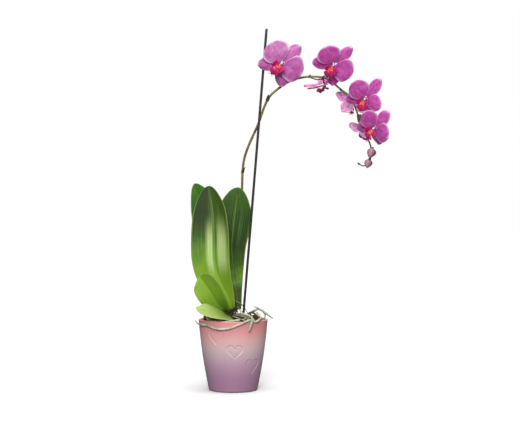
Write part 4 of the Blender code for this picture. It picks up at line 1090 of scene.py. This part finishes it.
def make_tepal(number, flower, part, angle, look):
    petal = part.endswith("petal")
    length, wide = (PETAL_LENGTH, PETAL_WIDTH) if petal else (SEPAL_LENGTH, SEPAL_WIDTH)
    length_share, width_share = flower["sizes"].get(part, (1, 1))
    length, wide = length * length_share, wide * width_share
    outline, tip_from = (PETAL_OUTLINE, PETAL_TIP_FROM) if petal else (SEPAL_OUTLINE, SEPAL_TIP_FROM)
    lift, bow = (0.0014, 0.005) if petal else (-0.001, 0.0035)
    sweep = math.tan(math.radians(flower["sweep"][0 if petal else 1]))
    rows, cols = (40, 37) if petal else (36, 23)
    t = np.linspace(0, 1, rows)[:, None]
    u = 1 - (1 - t) ** 1.5
    v = np.linspace(-1, 1, cols)[None, :]
    beyond = np.clip((u - tip_from) / (1 - tip_from), 0, 0.9995)
    round_off = (1 - beyond**2.15) ** 0.5
    half = wide / 2 * profile(outline, u) * round_off
    out = TEPAL_START + (length - TEPAL_START) * u + 0 * v
    far = out / length
    seed = number * 3.1 + angle * 0.017
    phase = seed * 2
    reach = np.abs(v)
    ruffle = (0.0011 if petal else 0.0006) * reach**3 * soft_step(u, 0.15, 0.6)
    ruffle = ruffle * np.sin(u * (9 if petal else 6) + v * 1.7 + phase)
    crease = -0.0006 * np.exp(-(v / 0.1) ** 2) * soft_step(u, 0, 0.25) * (1 - 0.7 * u)
    height = lift + out * sweep - bow * far**2 * (1.4 * far - 0.4) - 0.0035 * far * v**2 + ruffle + crease
    x = half * v * (1 + 0.03 * np.sin(u * 7 + np.sign(v) * 1.3 + phase))
    if petal:
        upper = 1 if part == "left_petal" else -1
        x = np.where(v * upper > 0, x * (1 + 0.13 * soft_step(u, 0.1, 0.3) * soft_step(u, 0.85, 0.45)), x)
    local = np.stack([x, out, height], axis=-1)
    turn = np.array(Matrix.Rotation(math.radians(angle - 90), 3, "Z"))
    middle = moved(flower_matrix(flower), local @ turn.T)
    thickness = flower["size"] * TEPAL_THICKNESS * (1 - 0.45 * np.maximum(reach, 0.6 * u) ** 2) + 0 * v
    piece = Shape()
    shell(piece, middle, thickness, along=u + 0 * v, across=v + 0 * u, seed=seed)
    name = f"flower_{number}_{part}"
    piece.make(name.replace("flower", "bloom"), [look], [name])


def make_lip(number, flower, looks):
    """Narrow middle lobe with two tendrils, two lobes that stand beside the column, and the callus."""
    place = flower_matrix(flower) @ np.array(Matrix.Rotation(math.radians(flower["lip_turn"]), 4, "Z"))
    place = place @ np.array(Matrix.Scale(LIP_FULLNESS, 4))
    size = flower["size"]
    seed = number * 1.7
    lip = Shape()
    t, v = sheet(40, 17)
    half = profile([(0, 0.0022), (0.12, 0.0036), (0.26, 0.0042), (0.4, 0.0046), (0.52, 0.0066),
            (0.64, 0.0086), (0.74, 0.008), (0.86, 0.005), (0.95, 0.0022), (1, 0.0012)], t)
    down = 0.0042 + LIP_LENGTH * 0.92 * t
    forward = 0.0036 + 0.0085 * np.sin(math.pi * np.minimum(1, t * 0.95)) + 0.0035 * t
    forward = forward - 0.0016 * v**2 * soft_step(t, 0.4, 0.65) + 0.0012 * v**2 * soft_step(t, 0.35, 0.1)
    forward = forward + 0.0009 * np.exp(-(v / 0.22) ** 2) * soft_step(t, 0.2, 0.5) * soft_step(t, 1, 0.8)
    middle = np.stack([half * v, -down, forward], axis=-1)
    shell(lip, moved(place, middle), 0.0011 * size, along=t, across=v, seed=seed)
    for side in (-1, 1):
        a, b = sheet(20, 15)
        wing = 0.0064 * profile([(0, 0.55), (0.3, 0.88), (0.6, 1), (0.85, 0.95), (1, 0.8)], a)
        wing = wing * np.sqrt(1 - 0.985 * np.clip((a - 0.55) / 0.45, 0, 1) ** 2)
        x = side * (0.0018 + 0.0088 * np.sin(a * 1.55) - 0.0008 * b**2 * a)
        y = -0.0098 + wing * b * side + 0.0016 * a
        z = 0.0086 + 0.007 * a**1.35 + 0.0006 * np.sin(b * 4 + seed) * a
        wing_points = moved(place, np.stack([x, y, z], axis=-1))
        shell(lip, wing_points, 0.0009 * size, along=0.32 + 0.5 * a, across=b * 0.9, seed=seed + side)
        curl = curve(((side * 0.0006, -0.0258, 0.0088), (side * 0.0022, -0.0275, 0.0098),
                (side * 0.0044, -0.0268, 0.0122), (side * 0.0046, -0.0245, 0.0134),
                (side * 0.0032, -0.0236, 0.0128)), 30)
        thin = size * np.linspace(0.00055, 0.00028, 30)
        tube(lip, moved(place, curl), thin, 10, look=2, seed=seed, across=0)
        cheek = curve(((side * 0.0011, -0.0086, 0.0108), (side * 0.0013, -0.0104, 0.014),
                (side * 0.001, -0.0122, 0.0142)), 10)
        tube(lip, moved(place, cheek), size * CALLUS_RADII, 14, look=1, rough=0.06, seed=seed)
    name = f"flower_{number}_lip"
    lip.make(f"bloom_{number}_lip", looks, [name])


def tendril_look():
    m = Nodes("tendril", Roughness=0.42, Subsurface_Weight=0.15, Subsurface_Scale=0.001)
    m.colour = m.ramp(m.value("along"), (0, "B8145E"), (0.5, "D878A8"), (1, "F2DCE2"))
    return m.done(None, m.bump(m.noise(900, 2), 0.2, 0.0002))


def make_flowers():
    open_pale = tepal_look("tepal_first", "AC4C9C", "C260AC", "D68AC4", "F2CCE8", "E8B0D8", "D488C0")
    warm = tepal_look("tepal_warm", "AA3E98", "C058A8", "D27ABE", "F0C4E6", "E6A8D4", "CC78B8")
    full = tepal_look("tepal_full", "B4369C", "CC48B2", "DC6CC2", "F4C0E8", "EAA8D8", "D470BC")
    # A brighter copy of tepal_full: painted light that offsets the shade on the petals of the two lower
    # flowers, which face down.
    lower = tepal_look("tepal_shade_lifted", "BC3CA4", "D652BC", "E67ACC", "F8C8EC", "EAA8D8", "D470BC")
    behind = tepal_look("tepal_rear", "C050A4", "D878BC", "EAA0D2", "F8D0EC", "F2B8E0", "DE84C4")
    hanging = tepal_look("tepal_hanging", "B8308C", "DC5CB0", "EC88C8", "F4A8DC", "F09CD2", "DC5CB4")
    callus, tendril = callus_look(), tendril_look()
    lips = [lip_look("lip_skin", "E0147C", "D4104C", "8E0A30"), callus, tendril]
    # A brighter copy of the lip for flowers 5 to 7: painted light that offsets the shade on these lips,
    # which hang away from the light.
    shade_lifted_lips = [lip_look("lip_shade_lifted", "F4409C", "E82C84", "C0206C"), callus, tendril]
    for number, flower in enumerate(FLOWERS, 1):
        # Flowers 3 and 4 take the brighter copy made as painted light.
        look = {1: warm, 3: lower, 4: lower, 5: hanging, 6: behind, 7: behind}.get(number, full)
        for part, angle in TEPALS.items():
            pale = number == 1 and part == "left_petal"
            make_tepal(number, flower, part, angle, open_pale if pale else look)
        make_lip(number, flower, lips if number < 5 else shade_lifted_lips)


# ---------------------------------------------------------------- floor, light and camera
def make_floor():
    floor = bmesh.new()
    bmesh.ops.create_circle(floor, cap_ends=True, segments=96, radius=FLOOR_RADIUS)
    mesh = bpy.data.meshes.new("floor")
    floor.to_mesh(mesh)
    floor.free()
    m = Nodes("floor_paper", Roughness=0.9, Specular_IOR_Level=0.1)
    tone = m.noise(0.8, 2)
    m.colour = m.ramp(tone, (0, "F4F4F4"), (1, "F8F8F8"))
    mesh.materials.append(m.done(None, None))
    piece = bpy.data.objects.new("floor", mesh)
    piece.visible_glossy = False
    piece.visible_diffuse = False
    scene.collection.objects.link(piece)


def sun(name, azimuth, elevation, strength, angle):
    """A distant soft light. Azimuth 0 comes from the camera's side, and 90 from +X."""
    data = bpy.data.lights.new(name, "SUN")
    data.energy, data.angle = strength, math.radians(angle)
    light = bpy.data.objects.new(name, data)
    a, e = math.radians(azimuth), math.radians(elevation)
    towards = Vector((math.sin(a) * math.cos(e), -math.cos(a) * math.cos(e), math.sin(e)))
    light.rotation_mode = "QUATERNION"
    light.rotation_quaternion = towards.to_track_quat("Z", "Y")
    scene.collection.objects.link(light)


def make_lights():
    sun("key", azimuth=-2, elevation=24, strength=2.45, angle=22)
    sun("top", azimuth=10, elevation=78, strength=1.9, angle=40)
    sun("back", azimuth=168, elevation=30, strength=0.8, angle=60)
    world = bpy.data.worlds.new("studio")
    scene.world = world
    world.use_nodes = True
    tree = world.node_tree
    light = tree.nodes["Background"]
    light.inputs["Color"].default_value = (1, 1, 1, 1)
    light.inputs["Strength"].default_value = 0.2
    paper = tree.nodes.new("ShaderNodeBackground")
    paper.inputs["Color"].default_value = (1, 1, 1, 1)
    seen = tree.nodes.new("ShaderNodeLightPath")
    choose = tree.nodes.new("ShaderNodeMixShader")
    tree.links.new(seen.outputs["Is Camera Ray"], choose.inputs[0])
    tree.links.new(light.outputs[0], choose.inputs[1])
    tree.links.new(paper.outputs[0], choose.inputs[2])
    tree.links.new(choose.outputs[0], tree.nodes["World Output"].inputs["Surface"])


def make_camera():
    data = bpy.data.cameras.new("camera")
    data.sensor_width = 36
    data.lens = CAMERA_LENS
    camera = bpy.data.objects.new("camera", data)
    camera.location = CAMERA_PLACE
    camera.rotation_euler = (math.pi / 2, 0, 0)
    scene.collection.objects.link(camera)
    scene.camera = camera


scene.view_settings.view_transform = "Standard"
make_camera()
make_lights()
make_floor()
make_pot()
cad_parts["grow_pot"].data.materials.clear()
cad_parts["grow_pot"].data.materials.append(plastic_look())
make_bark()
make_stake()
make_crown()
for leaf_name, leaf_design in LEAVES.items():
    make_leaf(leaf_name, leaf_design)
make_roots()
make_spike()
make_flowers()
for bud_number, bud_design in enumerate(BUDS, 1):
    make_bud(bud_number, bud_design)
